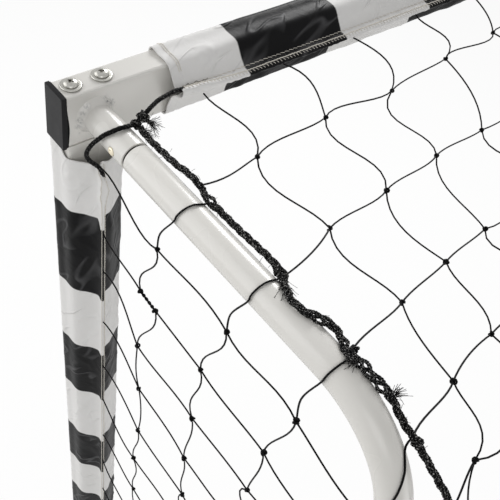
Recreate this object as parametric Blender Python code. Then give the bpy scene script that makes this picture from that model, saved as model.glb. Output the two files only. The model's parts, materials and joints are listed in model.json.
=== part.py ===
"""A steel soccer goal with striped fabric sleeves and a knotted net, in metres.

+X runs along the crossbar, +Y points out of the mouth and +Z is up. The origin is on the ground,
in the middle of the goal's width and depth. Places on the frame are given from a top rear corner:
inward from the crossbar's end, back from the bars' rear faces, and down from the crossbar's top.
"""

import itertools
import math

import bmesh
import bpy
from mathutils import Matrix, Vector

MM = 0.001

# The whole goal
GOAL_WIDTH = 2400 * MM
GOAL_HEIGHT = 1600 * MM
GOAL_DEPTH = 900 * MM
TOUCH_GAP = 0.3 * MM

# Rectangular tube of the crossbar and the posts
BAR_FACE = 50 * MM
BAR_DEPTH = 25 * MM
BAR_WALL = 1.5 * MM
BAR_CORNER = 2 * MM
COUPLER_LENGTH = 300 * MM

# Plastic ends
CAP_PLATE = 4.7 * MM
CAP_PROUD = 0.8 * MM
CAP_BEVEL = 1.6 * MM
CAP_PLUG = 6 * MM
FOOT_PLUG = 20 * MM

# Corner bolts
BOLT_FROM_END = (11 * MM, 39 * MM)
BOLT_RADIUS = 3 * MM
BOLT_END_BELOW_PLATE = 4 * MM
HEAD_RADIUS = 6.3 * MM
HEAD_HEIGHT = 4.2 * MM
HEAD_DOME = ((1.0, 0.0), (0.93, 0.45), (0.68, 0.85))
RECESS_RADIUS = 2.6 * MM
RECESS_DEPTH = 2.2 * MM
WASHER_RADIUS = 9 * MM
WASHER_THICKNESS = 1.6 * MM
NUT_PLATE = 7 * MM
NUT_PLATE_BELOW_TOP = 3 * MM

# Round tube of the depth and ground frame
TUBE_RADIUS = 13 * MM
TUBE_WALL = 1.5 * MM
TUBE_SIDES = 16
TUBE_INWARD = 25 * MM
STUB_LENGTH = 59 * MM
GROOVE = 1.3 * MM
SHOULDER = 1 * MM
SPIGOT_LENGTH = 45 * MM
SPIGOT_WALL = 1.2 * MM
STRAIGHT_RUN = 284 * MM
BEND_RADIUS = 88 * MM
BEND_STEPS = 7
CORNER_RADIUS = 88 * MM
CORNER_STEPS = 6
CORNER_RUN = 60 * MM
FOOT_AHEAD_OF_CORNER = 30 * MM
LEG_STUB_LENGTH = 75 * MM

# Snap buttons and their leaf springs
SNAP_FROM_MOUTH = 14.5 * MM
SNAP_HOLE_RADIUS = 4 * MM
BUTTON_CLEARANCE = 0.3 * MM
BUTTON_PROUD = 1.2 * MM
BUTTON_ROUNDING = 1.1 * MM
BUTTON_DOME = ((1.0, 1.0), (0.75, 0.3), (0.3, 0.0))
LEAF_WIDTH = 8 * MM
LEAF_THICKNESS = 0.8 * MM
LEAF_HALF_LENGTH = 6 * MM
SPRING_TURN_AT = 15 * MM
SPRING_TAIL = 8 * MM

# Fabric sleeves with a hem behind the bar
CLOTH = 0.8 * MM
CROSSBAR_SLEEVE_FROM_END = 94 * MM
POST_SLEEVE_BELOW_TOP = 60 * MM
POST_SLEEVE_ABOVE_GROUND = 45 * MM
CROSSBAR_HEM_DOWN = 20 * MM
POST_HEM_INWARD = 16 * MM
HEM_BACK = 21 * MM
HEM_PLY = 2 * MM

# Ropes
ROPE_RADIUS = 2.5 * MM
ROPE_SIDES = 6
ROPE_CLEARANCE = 0.8 * MM
ROPE_TAIL = 10 * MM
ROPE_OUT_OF_HEM = 2 * MM
LOOP_BACK = 41 * MM

# The corner loop's route: places as (inward, back, down), and (degrees round the stub, how far ahead)
LOOP_FROM_POST = (
    (10 * MM, 26 * MM, 53 * MM),
    (3 * MM, 29 * MM, 43 * MM),
    (3 * MM, 30 * MM, 33 * MM),
)
LOOP_OVER_STUB = (
    (172, 10 * MM),
    (150, 7 * MM),
    (125, 4 * MM),
    (100, 1 * MM),
    (75, 0 * MM),
    (52, 0 * MM),
)
LOOP_TO_CROSSBAR = (
    (45 * MM, 38 * MM, 12 * MM),
    (60 * MM, 30 * MM, 13 * MM),
    (78 * MM, 23 * MM, 16 * MM),
)

# The net's panels
STRAND_WIDTH = 3 * MM
NET_THICKNESS = 3 * MM
NET_COLUMNS = 12
NET_FIRST_COLUMN = 206.3 * MM
NET_COLUMN_PITCH = 180.6 * MM
ROOF_ROW = 158 * MM
BACK_ROWS = 8
BACK_FIRST_ROW = 213 * MM
BACK_ROW_PITCH = 173 * MM
SIDE_COLUMNS = 4
SIDE_FIRST_COLUMN = 188 * MM
SIDE_COLUMN_PITCH = 166 * MM
SIDE_ROWS = 10
SIDE_FIRST_ROW = 158 * MM
SIDE_ROW_PITCH = 151 * MM
SMALLEST_MESH = 6 * MM
# Amid its sides the roof sags through these places, (back, down), and the back starts at the last.
ROOF_SAGS_THROUGH = ((150 * MM, 50 * MM), (270 * MM, 66 * MM), (385 * MM, 70 * MM))
NET_SAG_SHAPE = 1.5
ROOF_END_BACK = 385 * MM
ROOF_END_DOWN = 60 * MM
SEAM_LEAVES_TUBE_AT = 45
SEAM_KNEE_INWARD = 11 * MM
SEAM_KNEE_BACK = 6 * MM
SEAM_KNEE_DOWN = 12 * MM
SEAM_SHARES = (0.08, 0.3, 0.6, 1.0)
SEAM_FOOT_INWARD = 70 * MM
ROOF_BESIDE_TUBE = 2 * MM
BACK_NET_INSIDE_ROOF = 20 * MM
SIDE_NET_BELOW_SLEEVE_TOP = 28 * MM
SIDE_NET_ABOVE_GROUND = 30 * MM
SIDE_NET_AHEAD_OF_REAR = 60 * MM

HALF_WIDTH = GOAL_WIDTH / 2
SLEEVE_PROUD = TOUCH_GAP + CLOTH
BAR_FRONT = GOAL_DEPTH / 2 - SLEEVE_PROUD
BAR_BACK = BAR_FRONT - BAR_DEPTH
REAR_AXIS_Y = TUBE_RADIUS - GOAL_DEPTH / 2
REAR_BACK = BAR_BACK - REAR_AXIS_Y
BAR_BORE_FACE = BAR_FACE - 2 * BAR_WALL
BAR_BORE_DEPTH = BAR_DEPTH - 2 * BAR_WALL
TUBE_BORE = TUBE_RADIUS - TUBE_WALL
TUBE_DOWN = BAR_FACE / 2
SPIGOT_RADIUS = TUBE_BORE - TOUCH_GAP
SPIGOT_BORE = SPIGOT_RADIUS - SPIGOT_WALL
FLATS = math.cos(math.pi / TUBE_SIDES)
LEAF_REACH = math.sqrt((SPIGOT_BORE * FLATS) ** 2 - (LEAF_WIDTH / 2) ** 2) - TOUCH_GAP
SIDES = {"left": -1, "right": 1}
OUTWARD_Z = Vector((0, 0, 1))


def clear_scene():
    for old in list(bpy.data.objects):
        bpy.data.objects.remove(old, do_unlink=True)


def linear(hex_colour):
    """sRGB hex to the linear values that a shader takes."""
    values = [int(hex_colour[i : i + 2], 16) / 255 for i in (1, 3, 5)]
    return [v / 12.92 if v <= 0.04045 else ((v + 0.055) / 1.055) ** 2.4 for v in values]


def make_material(name, hex_colour, roughness, metallic=0.0):
    material = bpy.data.materials.new(name)
    material.use_nodes = True
    shader = material.node_tree.nodes["Principled BSDF"]
    shader.inputs["Base Color"].default_value = (*linear(hex_colour), 1)
    shader.inputs["Roughness"].default_value = roughness
    shader.inputs["Metallic"].default_value = metallic
    return material


def add_object(name, mesh, material, matrix=None, sharp_angle=30):
    obj = bpy.data.objects.new(name, mesh)
    bpy.context.scene.collection.objects.link(obj)
    if material and not mesh.materials:
        mesh.materials.append(material)
    if matrix:
        obj.matrix_world = matrix
    mesh.shade_smooth()
    mesh.set_sharp_from_angle(angle=math.radians(sharp_angle))
    return obj


def add_cutter(name, mesh, matrix=None):
    cutter = add_object(name, mesh, None, matrix)
    cutter.hide_render = True
    cutter.display_type = "WIRE"
    return cutter


def cut(target, cutter):
    modifier = target.modifiers.new(cutter.name, "BOOLEAN")
    modifier.operation = "DIFFERENCE"
    modifier.solver = "EXACT"
    modifier.object = cutter


def loft(name, rings, hollow=False):
    """Skins equal rings of points. A hollow loft's last ring joins its first, like a tube's bore."""
    shape = bmesh.new()
    loops = [[shape.verts.new(point) for point in ring] for ring in rings]
    count = len(loops[0])
    pairs = list(zip(loops, loops[1:]))
    if hollow:
        pairs.append((loops[-1], loops[0]))
    else:
        shape.faces.new(loops[0])
        shape.faces.new(loops[-1])
    for first, second in pairs:
        for i in range(count):
            j = (i + 1) % count
            shape.faces.new((first[i], first[j], second[j], second[i]))
    bmesh.ops.recalc_face_normals(shape, faces=shape.faces)
    mesh = bpy.data.meshes.new(name)
    shape.to_mesh(mesh)
    shape.free()
    return mesh


def circle(radius, sides=TUBE_SIDES):
    return [
        (radius * math.cos(math.tau * i / sides), radius * math.sin(math.tau * i / sides))
        for i in range(sides)
    ]


def rectangle(width, height, corner=0.0, corner_steps=2):
    """Outline centred on zero, with its corners cut round when corner is given."""
    half_w, half_h = width / 2 - corner, height / 2 - corner
    centres = [(half_w, half_h), (-half_w, half_h), (-half_w, -half_h), (half_w, -half_h)]
    if not corner:
        return centres
    points = []
    for quarter, (x, y) in enumerate(centres):
        for step in range(corner_steps + 1):
            angle = math.pi / 2 * (quarter + step / corner_steps)
            points.append((x + corner * math.cos(angle), y + corner * math.sin(angle)))
    return points


def stacked(name, layers, hollow=False):
    """A loft along local Z of (outline, height) layers."""
    return loft(name, [[(x, y, z) for x, y in outline] for outline, z in layers], hollow)


def hollow_prism(name, outer, inner, length):
    layers = [(outer, 0), (outer, length), (inner, length), (inner, 0)]
    return stacked(name, layers, hollow=True)


def turned(name, profile, sides, hollow=False):
    """A shape turned on local Z from (radius, height) pairs."""
    return stacked(name, [(circle(radius, sides), height) for radius, height in profile], hollow)


def tangents(points):
    ahead = [points[min(i + 1, len(points) - 1)] for i in range(len(points))]
    behind = [points[max(i - 1, 0)] for i in range(len(points))]
    return [(a - b).normalized() for a, b in zip(ahead, behind)]


def tube_rings(stations, across):
    """Rings square to a flat path. Each station is (point, radius); across is the path plane's normal."""
    points = [point for point, _ in stations]
    rings = []
    for (point, radius), along in zip(stations, tangents(points)):
        other = along.cross(across).normalized()
        rings.append([point + across * x + other * y for x, y in circle(radius)])
    return rings


def pipe(name, stations, across):
    """A hollow tube along a flat path of (point, outer radius, inner radius) stations."""
    outer = tube_rings([(point, radius) for point, radius, _ in stations], across)
    inner = tube_rings([(point, bore) for point, _, bore in stations], across)
    return loft(name, outer + inner[::-1], hollow=True)


def rope(name, points, radius):
    """A solid round rope along any path, with its rings carried along without twist."""
    along = tangents(points)
    side = along[0].orthogonal().normalized()
    rings = []
    for point, direction in zip(points, along):
        side = (side - direction * side.dot(direction)).normalized()
        other = direction.cross(side)
        rings.append([point + side * x + other * y for x, y in circle(radius, ROPE_SIDES)])
    return loft(name, rings)


def smooth(points, steps=4):
    """A smooth curve through the given points."""
    padded = [2 * points[0] - points[1], *points, 2 * points[-1] - points[-2]]
    curve = []
    for a, b, c, d in zip(padded, padded[1:], padded[2:], padded[3:]):
        for step in range(steps):
            t = step / steps
            linear_part = (c - a) * t
            square_part = (2 * a - 5 * b + 4 * c - d) * t**2
            cube_part = (3 * b - a - 3 * c + d) * t**3
            curve.append((2 * b + linear_part + square_part + cube_part) / 2)
    curve.append(points[-1])
    return curve


def spot(side, inward, back, down):
    """A place given from a top rear corner of the frame."""
    return Vector((side * (HALF_WIDTH - inward), BAR_BACK - back, GOAL_HEIGHT - down))


def facing(origin, along_x, along_z):
    """A frame at origin whose local X and Z point the given ways."""
    across = along_z.cross(along_x)
    turn = Matrix((along_x, across, along_z)).transposed()
    return Matrix.Translation(origin) @ turn.to_4x4()


def leg_lean():
    """The leg's lean from upright: it leaves the bend as a tangent and ends on the ground tube."""
    run_back = foot_back() - STRAIGHT_RUN
    drop = GOAL_HEIGHT - TUBE_DOWN - BEND_RADIUS - TUBE_RADIUS
    reach = math.hypot(run_back, drop)
    return math.acos(BEND_RADIUS / reach) - math.atan2(drop, run_back)


def foot_back():
    return REAR_BACK - CORNER_RADIUS - FOOT_AHEAD_OF_CORNER


def make_crossbar(paint, plastic):
    outer = rectangle(BAR_DEPTH, BAR_FACE, BAR_CORNER)
    inner = rectangle(BAR_BORE_DEPTH, BAR_BORE_FACE, BAR_CORNER - BAR_WALL)
    length = HALF_WIDTH - TOUCH_GAP / 2
    half_bar = hollow_prism("crossbar_half", outer, inner, length)
    middle = Vector((0, BAR_BACK + BAR_DEPTH / 2, GOAL_HEIGHT - BAR_FACE / 2))
    hole_radius = BOLT_RADIUS + TOUCH_GAP
    hole = turned("bolt_hole", [(hole_radius, -BAR_FACE), (hole_radius, BAR_FACE)], 16)
    for side_name, side in SIDES.items():
        outward = Vector((side, 0, 0))
        start = middle + outward * (TOUCH_GAP / 2)
        place = facing(start, Vector((0, 1, 0)), outward)
        half = add_object(f"crossbar_{side_name}", half_bar, paint, place)
        for number, from_end in enumerate(BOLT_FROM_END):
            centre = middle + outward * (HALF_WIDTH - from_end)
            cutter = add_cutter(f"bolt_hole_{side_name}_{number}", hole, Matrix.Translation(centre))
            cut(half, cutter)
        make_cap(f"crossbar_cap_{side_name}", middle + outward * HALF_WIDTH, outward, plastic)
    slip = 2 * TOUCH_GAP
    coupler_outer = rectangle(BAR_BORE_DEPTH - slip, BAR_BORE_FACE - slip)
    coupler_inner = rectangle(
        BAR_BORE_DEPTH - slip - 2 * BAR_WALL, BAR_BORE_FACE - slip - 2 * BAR_WALL
    )
    coupler = hollow_prism("coupler", coupler_outer, coupler_inner, COUPLER_LENGTH)
    start = middle - Vector((COUPLER_LENGTH / 2, 0, 0))
    add_object("crossbar_coupler", coupler, paint, facing(start, Vector((0, 1, 0)), Vector((1, 0, 0))))


def make_cap(name, bar_end, outward, plastic):
    """A bevelled end plate with a plug that fills the tube's mouth."""
    plug = rectangle(BAR_BORE_DEPTH - 2 * TOUCH_GAP, BAR_BORE_FACE - 2 * TOUCH_GAP)
    plate = rectangle(BAR_DEPTH + 2 * CAP_PROUD, BAR_FACE + 2 * CAP_PROUD)
    face = rectangle(
        BAR_DEPTH + 2 * CAP_PROUD - 2 * CAP_BEVEL, BAR_FACE + 2 * CAP_PROUD - 2 * CAP_BEVEL
    )
    layers = [
        (plug, -CAP_PLUG),
        (plug, TOUCH_GAP),
        (plate, TOUCH_GAP),
        (plate, CAP_PLATE - CAP_BEVEL),
        (face, CAP_PLATE),
    ]
    add_object(name, stacked(name, layers), plastic, facing(bar_end, Vector((0, 1, 0)), outward))


def make_posts(paint, plastic, zinc):
    top = GOAL_HEIGHT - BAR_FACE - TOUCH_GAP
    outer = rectangle(BAR_FACE, BAR_DEPTH, BAR_CORNER)
    inner = rectangle(BAR_BORE_FACE, BAR_BORE_DEPTH, BAR_CORNER - BAR_WALL)
    post = hollow_prism("post", outer, inner, top)
    slip = 2 * TOUCH_GAP
    filling = rectangle(BAR_BORE_FACE - slip, BAR_BORE_DEPTH - slip)
    plug = stacked("foot_plug", [(filling, 0), (filling, FOOT_PLUG)])
    plate = stacked("nut_plate", [(filling, 0), (filling, NUT_PLATE)])
    hole_radius = BOLT_RADIUS + TOUCH_GAP
    hole = turned("nut_hole", [(hole_radius, -NUT_PLATE), (hole_radius, 2 * NUT_PLATE)], 16)
    for side_name, side in SIDES.items():
        foot = Vector((side * (HALF_WIDTH - BAR_FACE / 2), BAR_BACK + BAR_DEPTH / 2, 0))
        add_object(f"post_{side_name}", post, paint, Matrix.Translation(foot))
        add_object(f"post_foot_plug_{side_name}", plug, plastic, Matrix.Translation(foot))
        seat = foot + OUTWARD_Z * (top - NUT_PLATE_BELOW_TOP - NUT_PLATE)
        nut_plate = add_object(f"post_nut_plate_{side_name}", plate, zinc, Matrix.Translation(seat))
        for number, from_end in enumerate(BOLT_FROM_END):
            centre = Vector((side * (HALF_WIDTH - from_end), foot.y, seat.z))
            cut(nut_plate, add_cutter(f"nut_hole_{side_name}_{number}", hole, Matrix.Translation(centre)))


def make_corner_bolts(zinc):
    washer_hole = BOLT_RADIUS + TOUCH_GAP
    washer_profile = [
        (WASHER_RADIUS, TOUCH_GAP),
        (WASHER_RADIUS, TOUCH_GAP + WASHER_THICKNESS),
        (washer_hole, TOUCH_GAP + WASHER_THICKNESS),
        (washer_hole, TOUCH_GAP),
    ]
    washer = turned("washer", washer_profile, 20, hollow=True)
    seat = 2 * TOUCH_GAP + WASHER_THICKNESS
    shaft = BAR_FACE + TOUCH_GAP + NUT_PLATE_BELOW_TOP + NUT_PLATE + BOLT_END_BELOW_PLATE
    bolt_profile = [
        (BOLT_RADIUS, -shaft),
        (BOLT_RADIUS, seat),
        *((HEAD_RADIUS * out, seat + HEAD_HEIGHT * up) for out, up in HEAD_DOME),
        (RECESS_RADIUS, seat + HEAD_HEIGHT),
        (RECESS_RADIUS, seat + HEAD_HEIGHT - RECESS_DEPTH),
    ]
    bolt = turned("bolt", bolt_profile, 12)
    for side_name, side in SIDES.items():
        for place, from_end in zip(("outer", "inner"), BOLT_FROM_END):
            at = Matrix.Translation(spot(side, from_end, -BAR_DEPTH / 2, 0))
            add_object(f"corner_bolt_{side_name}_{place}", bolt, zinc, at)
            add_object(f"corner_washer_{side_name}_{place}", washer, zinc, at)


def stub_mesh(name, length, start=0.0):
    profile = [(TUBE_RADIUS, start), (TUBE_RADIUS, length), (TUBE_BORE, length), (TUBE_BORE, start)]
    return turned(name, profile, TUBE_SIDES, hollow=True)


def spigot_stations(shoulder, tail_way):
    """The reduced end of a tube, from its tail to its full size, with tail_way pointing to the tail."""
    tail = shoulder + tail_way * SPIGOT_LENGTH
    full = shoulder - tail_way * SHOULDER
    return [
        (tail, SPIGOT_RADIUS, SPIGOT_BORE),
        (shoulder, SPIGOT_RADIUS, SPIGOT_BORE),
        (full, TUBE_RADIUS, TUBE_BORE),
    ]


def full_stations(points):
    return [(point, TUBE_RADIUS, TUBE_BORE) for point in points]


def depth_tube_mesh():
    """Straight back, bent down, then a leaning leg. Local X is zero on the tube's own plane."""
    lean = leg_lean()
    axis_height = GOAL_HEIGHT - TUBE_DOWN
    forward = Vector((0, 1, 0))
    down_leg = Vector((0, -math.sin(lean), -math.cos(lean)))
    front_shoulder = Vector((0, BAR_BACK - STUB_LENGTH - GROOVE, axis_height))
    bend_centre = Vector((0, BAR_BACK - STRAIGHT_RUN, axis_height - BEND_RADIUS))
    turn = math.pi / 2 - lean
    bend = []
    for step in range(BEND_STEPS + 1):
        angle = turn * step / BEND_STEPS
        bend.append(bend_centre + BEND_RADIUS * Vector((0, -math.sin(angle), math.cos(angle))))
    foot = Vector((0, BAR_BACK - foot_back(), TUBE_RADIUS))
    leg_shoulder = foot - down_leg * (LEG_STUB_LENGTH + GROOVE)
    stations = spigot_stations(front_shoulder, forward)
    stations += full_stations(bend)
    stations += spigot_stations(leg_shoulder, down_leg)[::-1]
    return pipe("depth_tube", stations, Vector((1, 0, 0)))


def ground_tube_mesh(side):
    """From the post's foot straight back and round the rear corner, where it takes the rear tube."""
    forward = Vector((0, 1, 0))
    inward = Vector((-side, 0, 0))
    axis_x = side * (HALF_WIDTH - TUBE_INWARD)
    shoulder = Vector((axis_x, BAR_BACK - STUB_LENGTH - GROOVE, TUBE_RADIUS))
    centre = Vector((axis_x, REAR_AXIS_Y + CORNER_RADIUS, TUBE_RADIUS)) + inward * CORNER_RADIUS
    corner = []
    for step in range(CORNER_STEPS + 1):
        angle = math.pi / 2 * step / CORNER_STEPS
        corner.append(centre - CORNER_RADIUS * (inward * math.cos(angle) + forward * math.sin(angle)))
    mouth = corner[-1] + inward * CORNER_RUN
    stations = spigot_stations(shoulder, forward) + full_stations([*corner, mouth])
    return pipe("side_ground_tube", stations, OUTWARD_Z)


def make_snap_meshes():
    """The button with its piece of leaf, and the rest of the leaf spring, round local Z and X."""
    radius = SNAP_HOLE_RADIUS - BUTTON_CLEARANCE
    top = TUBE_RADIUS + BUTTON_PROUD
    button_profile = [
        (radius, LEAF_REACH - LEAF_THICKNESS / 2),
        *((radius * out, top - BUTTON_ROUNDING * down) for out, down in BUTTON_DOME),
    ]
    pin = add_object("button_pin", turned("button_pin", button_profile, 12), None)
    leaf_outline = rectangle(2 * LEAF_HALF_LENGTH, LEAF_WIDTH)
    leaf_layers = [(leaf_outline, LEAF_REACH - LEAF_THICKNESS), (leaf_outline, LEAF_REACH)]
    leaf = add_object("button_leaf", stacked("button_leaf", leaf_layers), None)
    join = leaf.modifiers.new("pin", "BOOLEAN")
    join.operation = "UNION"
    join.solver = "EXACT"
    join.object = pin
    graph = bpy.context.evaluated_depsgraph_get()
    button = bpy.data.meshes.new_from_object(leaf.evaluated_get(graph))
    button.name = "snap_button"
    for helper in (leaf, pin):
        bpy.data.objects.remove(helper, do_unlink=True)

    steps = 8
    outline = [(LEAF_HALF_LENGTH + TOUCH_GAP, LEAF_REACH)]
    inner_reach = LEAF_REACH - LEAF_THICKNESS
    for reach, turns in ((LEAF_REACH, range(steps + 1)), (inner_reach, range(steps, -1, -1))):
        if reach < LEAF_REACH:
            outline += [(-SPRING_TAIL, -LEAF_REACH), (-SPRING_TAIL, -reach)]
        for step in turns:
            angle = math.pi / 2 - math.pi * step / steps
            outline.append((SPRING_TURN_AT + reach * math.cos(angle), reach * math.sin(angle)))
    outline.append((LEAF_HALF_LENGTH + TOUCH_GAP, inner_reach))
    rings = [[(x, y, z) for x, z in outline] for y in (-LEAF_WIDTH / 2, LEAF_WIDTH / 2)]
    return button, loft("snap_spring", rings)


def make_snaps(snaps, brass, steel):
    """Each snap is (name, point on the tube's axis, way to the spigot's tail, outward way, pieces cut)."""
    button, spring = make_snap_meshes()
    hole_from = LEAF_REACH - 2 * LEAF_THICKNESS
    hole_to = TUBE_RADIUS + 2 * BUTTON_PROUD
    hole = turned("snap_hole", [(SNAP_HOLE_RADIUS, hole_from), (SNAP_HOLE_RADIUS, hole_to)], 16)
    for name, centre, tail_way, outward, pieces in snaps:
        place = facing(centre, tail_way, outward)
        add_object(f"snap_button_{name}", button, brass, place)
        add_object(f"snap_spring_{name}", spring, steel, place)
        cutter = add_cutter(f"snap_hole_{name}", hole, place)
        for piece in pieces:
            cut(piece, cutter)


def make_round_frame(paint, brass, steel):
    """The stubs, the depth tubes, the ground tubes and the snap buttons that lock them."""
    forward = Vector((0, 1, 0))
    lean = leg_lean()
    down_leg = Vector((0, -math.sin(lean), -math.cos(lean)))
    stub = stub_mesh("stub", STUB_LENGTH, TOUCH_GAP)
    leg_stub = stub_mesh("leg_stub", LEG_STUB_LENGTH)
    depth_tube = depth_tube_mesh()
    saddle_radius = TUBE_RADIUS + TOUCH_GAP
    saddle = turned("saddle", [(saddle_radius, -BAR_FACE), (saddle_radius, BAR_FACE)], 32)
    snap_back = STUB_LENGTH - SNAP_FROM_MOUTH
    snaps = []
    ground_tubes = {}
    for side_name, side in SIDES.items():
        outward = Vector((side, 0, 0))
        axis_x = side * (HALF_WIDTH - TUBE_INWARD)
        top_root = Vector((axis_x, BAR_BACK, GOAL_HEIGHT - TUBE_DOWN))
        foot_root = Vector((axis_x, BAR_BACK, TUBE_RADIUS))
        leg_root = Vector((axis_x, BAR_BACK - foot_back(), TUBE_RADIUS))
        top = add_object(f"top_stub_{side_name}", stub, paint, facing(top_root, outward, -forward))
        low = add_object(f"bottom_stub_{side_name}", stub, paint, facing(foot_root, outward, -forward))
        socket = add_object(f"leg_stub_{side_name}", leg_stub, paint, facing(leg_root, outward, -down_leg))
        cut(socket, add_cutter(f"saddle_{side_name}", saddle, facing(leg_root, outward, forward)))
        tube = add_object(
            f"depth_tube_{side_name}", depth_tube, paint, Matrix.Translation(Vector((axis_x, 0, 0)))
        )
        ground = add_object(f"side_ground_tube_{side_name}", ground_tube_mesh(side), paint)
        ground_tubes[side_name] = ground
        leg_snap = leg_root - down_leg * (LEG_STUB_LENGTH - SNAP_FROM_MOUTH)
        snaps += [
            (f"top_{side_name}", top_root - forward * snap_back, forward, outward, (top, tube)),
            (f"foot_{side_name}", foot_root - forward * snap_back, forward, outward, (low, ground)),
            (f"leg_{side_name}", leg_snap, down_leg, -outward, (socket, tube)),
        ]
    snaps += make_rear_tubes(paint, ground_tubes)
    make_snaps(snaps, brass, steel)


def make_rear_tubes(paint, ground_tubes):
    """Two lengths between the corners. The right one's reduced end goes into the left one."""
    forward = Vector((0, 1, 0))
    mouth_x = HALF_WIDTH - TUBE_INWARD - CORNER_RADIUS - CORNER_RUN
    tubes = {}
    snaps = []
    for side_name, side in SIDES.items():
        outward = Vector((side, 0, 0))
        axis = Vector((0, REAR_AXIS_Y, TUBE_RADIUS))
        shoulder = axis + outward * (mouth_x - GROOVE)
        stations = spigot_stations(shoulder, outward)
        if side_name == "left":
            stations += full_stations([axis + outward * (GROOVE / 2)])
        else:
            stations += spigot_stations(axis + outward * (GROOVE / 2), -outward)[::-1]
        mesh = pipe(f"rear_ground_tube_{side_name}", stations, OUTWARD_Z)
        tube = add_object(f"rear_ground_tube_{side_name}", mesh, paint)
        tubes[side_name] = tube
        centre = axis + outward * (mouth_x + SNAP_FROM_MOUTH)
        snaps.append((f"corner_{side_name}", centre, outward, forward, (ground_tubes[side_name], tube)))
    centre = Vector((-GROOVE / 2 - SNAP_FROM_MOUTH, REAR_AXIS_Y, TUBE_RADIUS))
    snaps.append(("middle", centre, Vector((-1, 0, 0)), forward, tuple(tubes.values())))
    return snaps


def sleeve_outline(hem_at):
    """(back, along the rear face) points: the cloth round the bar, and the hem that holds the rope."""
    channel = ROPE_RADIUS + TOUCH_GAP + CLOTH
    join = math.asin(HEM_PLY / 2 / channel)
    steps = 10
    points = [
        (-BAR_DEPTH - SLEEVE_PROUD, -SLEEVE_PROUD),
        (SLEEVE_PROUD, -SLEEVE_PROUD),
        (SLEEVE_PROUD, hem_at - HEM_PLY / 2),
    ]
    for step in range(steps + 1):
        angle = -math.pi + join + (math.tau - 2 * join) * step / steps
        points.append((HEM_BACK + channel * math.cos(angle), hem_at + channel * math.sin(angle)))
    points += [
        (SLEEVE_PROUD, hem_at + HEM_PLY / 2),
        (SLEEVE_PROUD, BAR_FACE + SLEEVE_PROUD),
        (-BAR_DEPTH - SLEEVE_PROUD, BAR_FACE + SLEEVE_PROUD),
    ]
    return points


def make_sleeve(name, hem_at, start, end, place, fabric):
    """place(back, along, length) gives the point in the goal for a point of the sleeve's outline."""
    outline = sleeve_outline(hem_at)
    rings = [[place(back, along, length) for back, along in outline] for length in (start, end)]
    sleeve = add_object(name, loft(name, rings), fabric)
    beyond = HEM_BACK
    bar = [
        (back - BAR_DEPTH / 2, along + BAR_FACE / 2)
        for back, along in rectangle(BAR_DEPTH + 2 * TOUCH_GAP, BAR_FACE + 2 * TOUCH_GAP)
    ]
    channel = [(HEM_BACK + x, hem_at + y) for x, y in circle(ROPE_RADIUS + TOUCH_GAP, 10)]
    for what, hole in (("bar", bar), ("rope", channel)):
        ends = (start - beyond, end + beyond)
        rings = [[place(back, along, length) for back, along in hole] for length in ends]
        cut(sleeve, add_cutter(f"{name}_{what}_space", loft(f"{name}_{what}_space", rings)))


def make_sleeves(fabric):
    reach = HALF_WIDTH - CROSSBAR_SLEEVE_FROM_END
    make_sleeve(
        "crossbar_sleeve",
        CROSSBAR_HEM_DOWN,
        -reach,
        reach,
        lambda back, down, x: Vector((x, BAR_BACK - back, GOAL_HEIGHT - down)),
        fabric,
    )
    for side_name, side in SIDES.items():
        make_sleeve(
            f"post_sleeve_{side_name}",
            POST_HEM_INWARD,
            POST_SLEEVE_ABOVE_GROUND,
            GOAL_HEIGHT - POST_SLEEVE_BELOW_TOP,
            lambda back, inward, z, side=side: spot(side, inward, back, GOAL_HEIGHT - z),
            fabric,
        )


def corner_loop(side):
    """The border rope from the post's hem, round the stub and to the crossbar's hem."""
    wrap = TUBE_RADIUS + ROPE_RADIUS + ROPE_CLEARANCE
    points = [spot(side, POST_HEM_INWARD, HEM_BACK, POST_SLEEVE_BELOW_TOP - ROPE_OUT_OF_HEM)]
    points += [spot(side, *place) for place in LOOP_FROM_POST]
    for degrees, ahead in LOOP_OVER_STUB:
        angle = math.radians(degrees)
        inward = TUBE_INWARD + wrap * math.cos(angle)
        down = TUBE_DOWN - wrap * math.sin(angle)
        points.append(spot(side, inward, LOOP_BACK - ahead, down))
    points += [spot(side, *place) for place in LOOP_TO_CROSSBAR]
    hem_end = CROSSBAR_SLEEVE_FROM_END - ROPE_OUT_OF_HEM
    points.append(spot(side, hem_end, HEM_BACK, CROSSBAR_HEM_DOWN))
    return smooth(points, 2)


def make_border_rope(cord):
    """One rope in the hems of both posts and the crossbar."""
    low = GOAL_HEIGHT - POST_SLEEVE_ABOVE_GROUND + ROPE_TAIL
    high = POST_SLEEVE_BELOW_TOP + ROPE_TAIL
    across = CROSSBAR_SLEEVE_FROM_END + ROPE_TAIL
    halves = {}
    for side_name, side in SIDES.items():
        halves[side_name] = [
            spot(side, POST_HEM_INWARD, HEM_BACK, low),
            spot(side, POST_HEM_INWARD, HEM_BACK, high),
            *corner_loop(side),
            spot(side, across, HEM_BACK, CROSSBAR_HEM_DOWN),
        ]
    points = halves["left"] + halves["right"][::-1]
    add_object("border_rope", rope("border_rope", points, ROPE_RADIUS), cord)


def seam_foot(side):
    """Where the side rope ends, on the rear tube's top at the corner."""
    from_centre = TUBE_INWARD + CORNER_RADIUS - SEAM_FOOT_INWARD
    bow = CORNER_RADIUS - math.sqrt(CORNER_RADIUS**2 - from_centre**2)
    height = 2 * TUBE_RADIUS + ROPE_RADIUS + ROPE_CLEARANCE
    return spot(side, SEAM_FOOT_INWARD, REAR_BACK - bow, GOAL_HEIGHT - height)


def seam_knee():
    """How far back and down the side rope turns from the roof's corner into the rear seam."""
    return ROOF_END_BACK + SEAM_KNEE_BACK, ROOF_END_DOWN + SEAM_KNEE_DOWN


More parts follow.
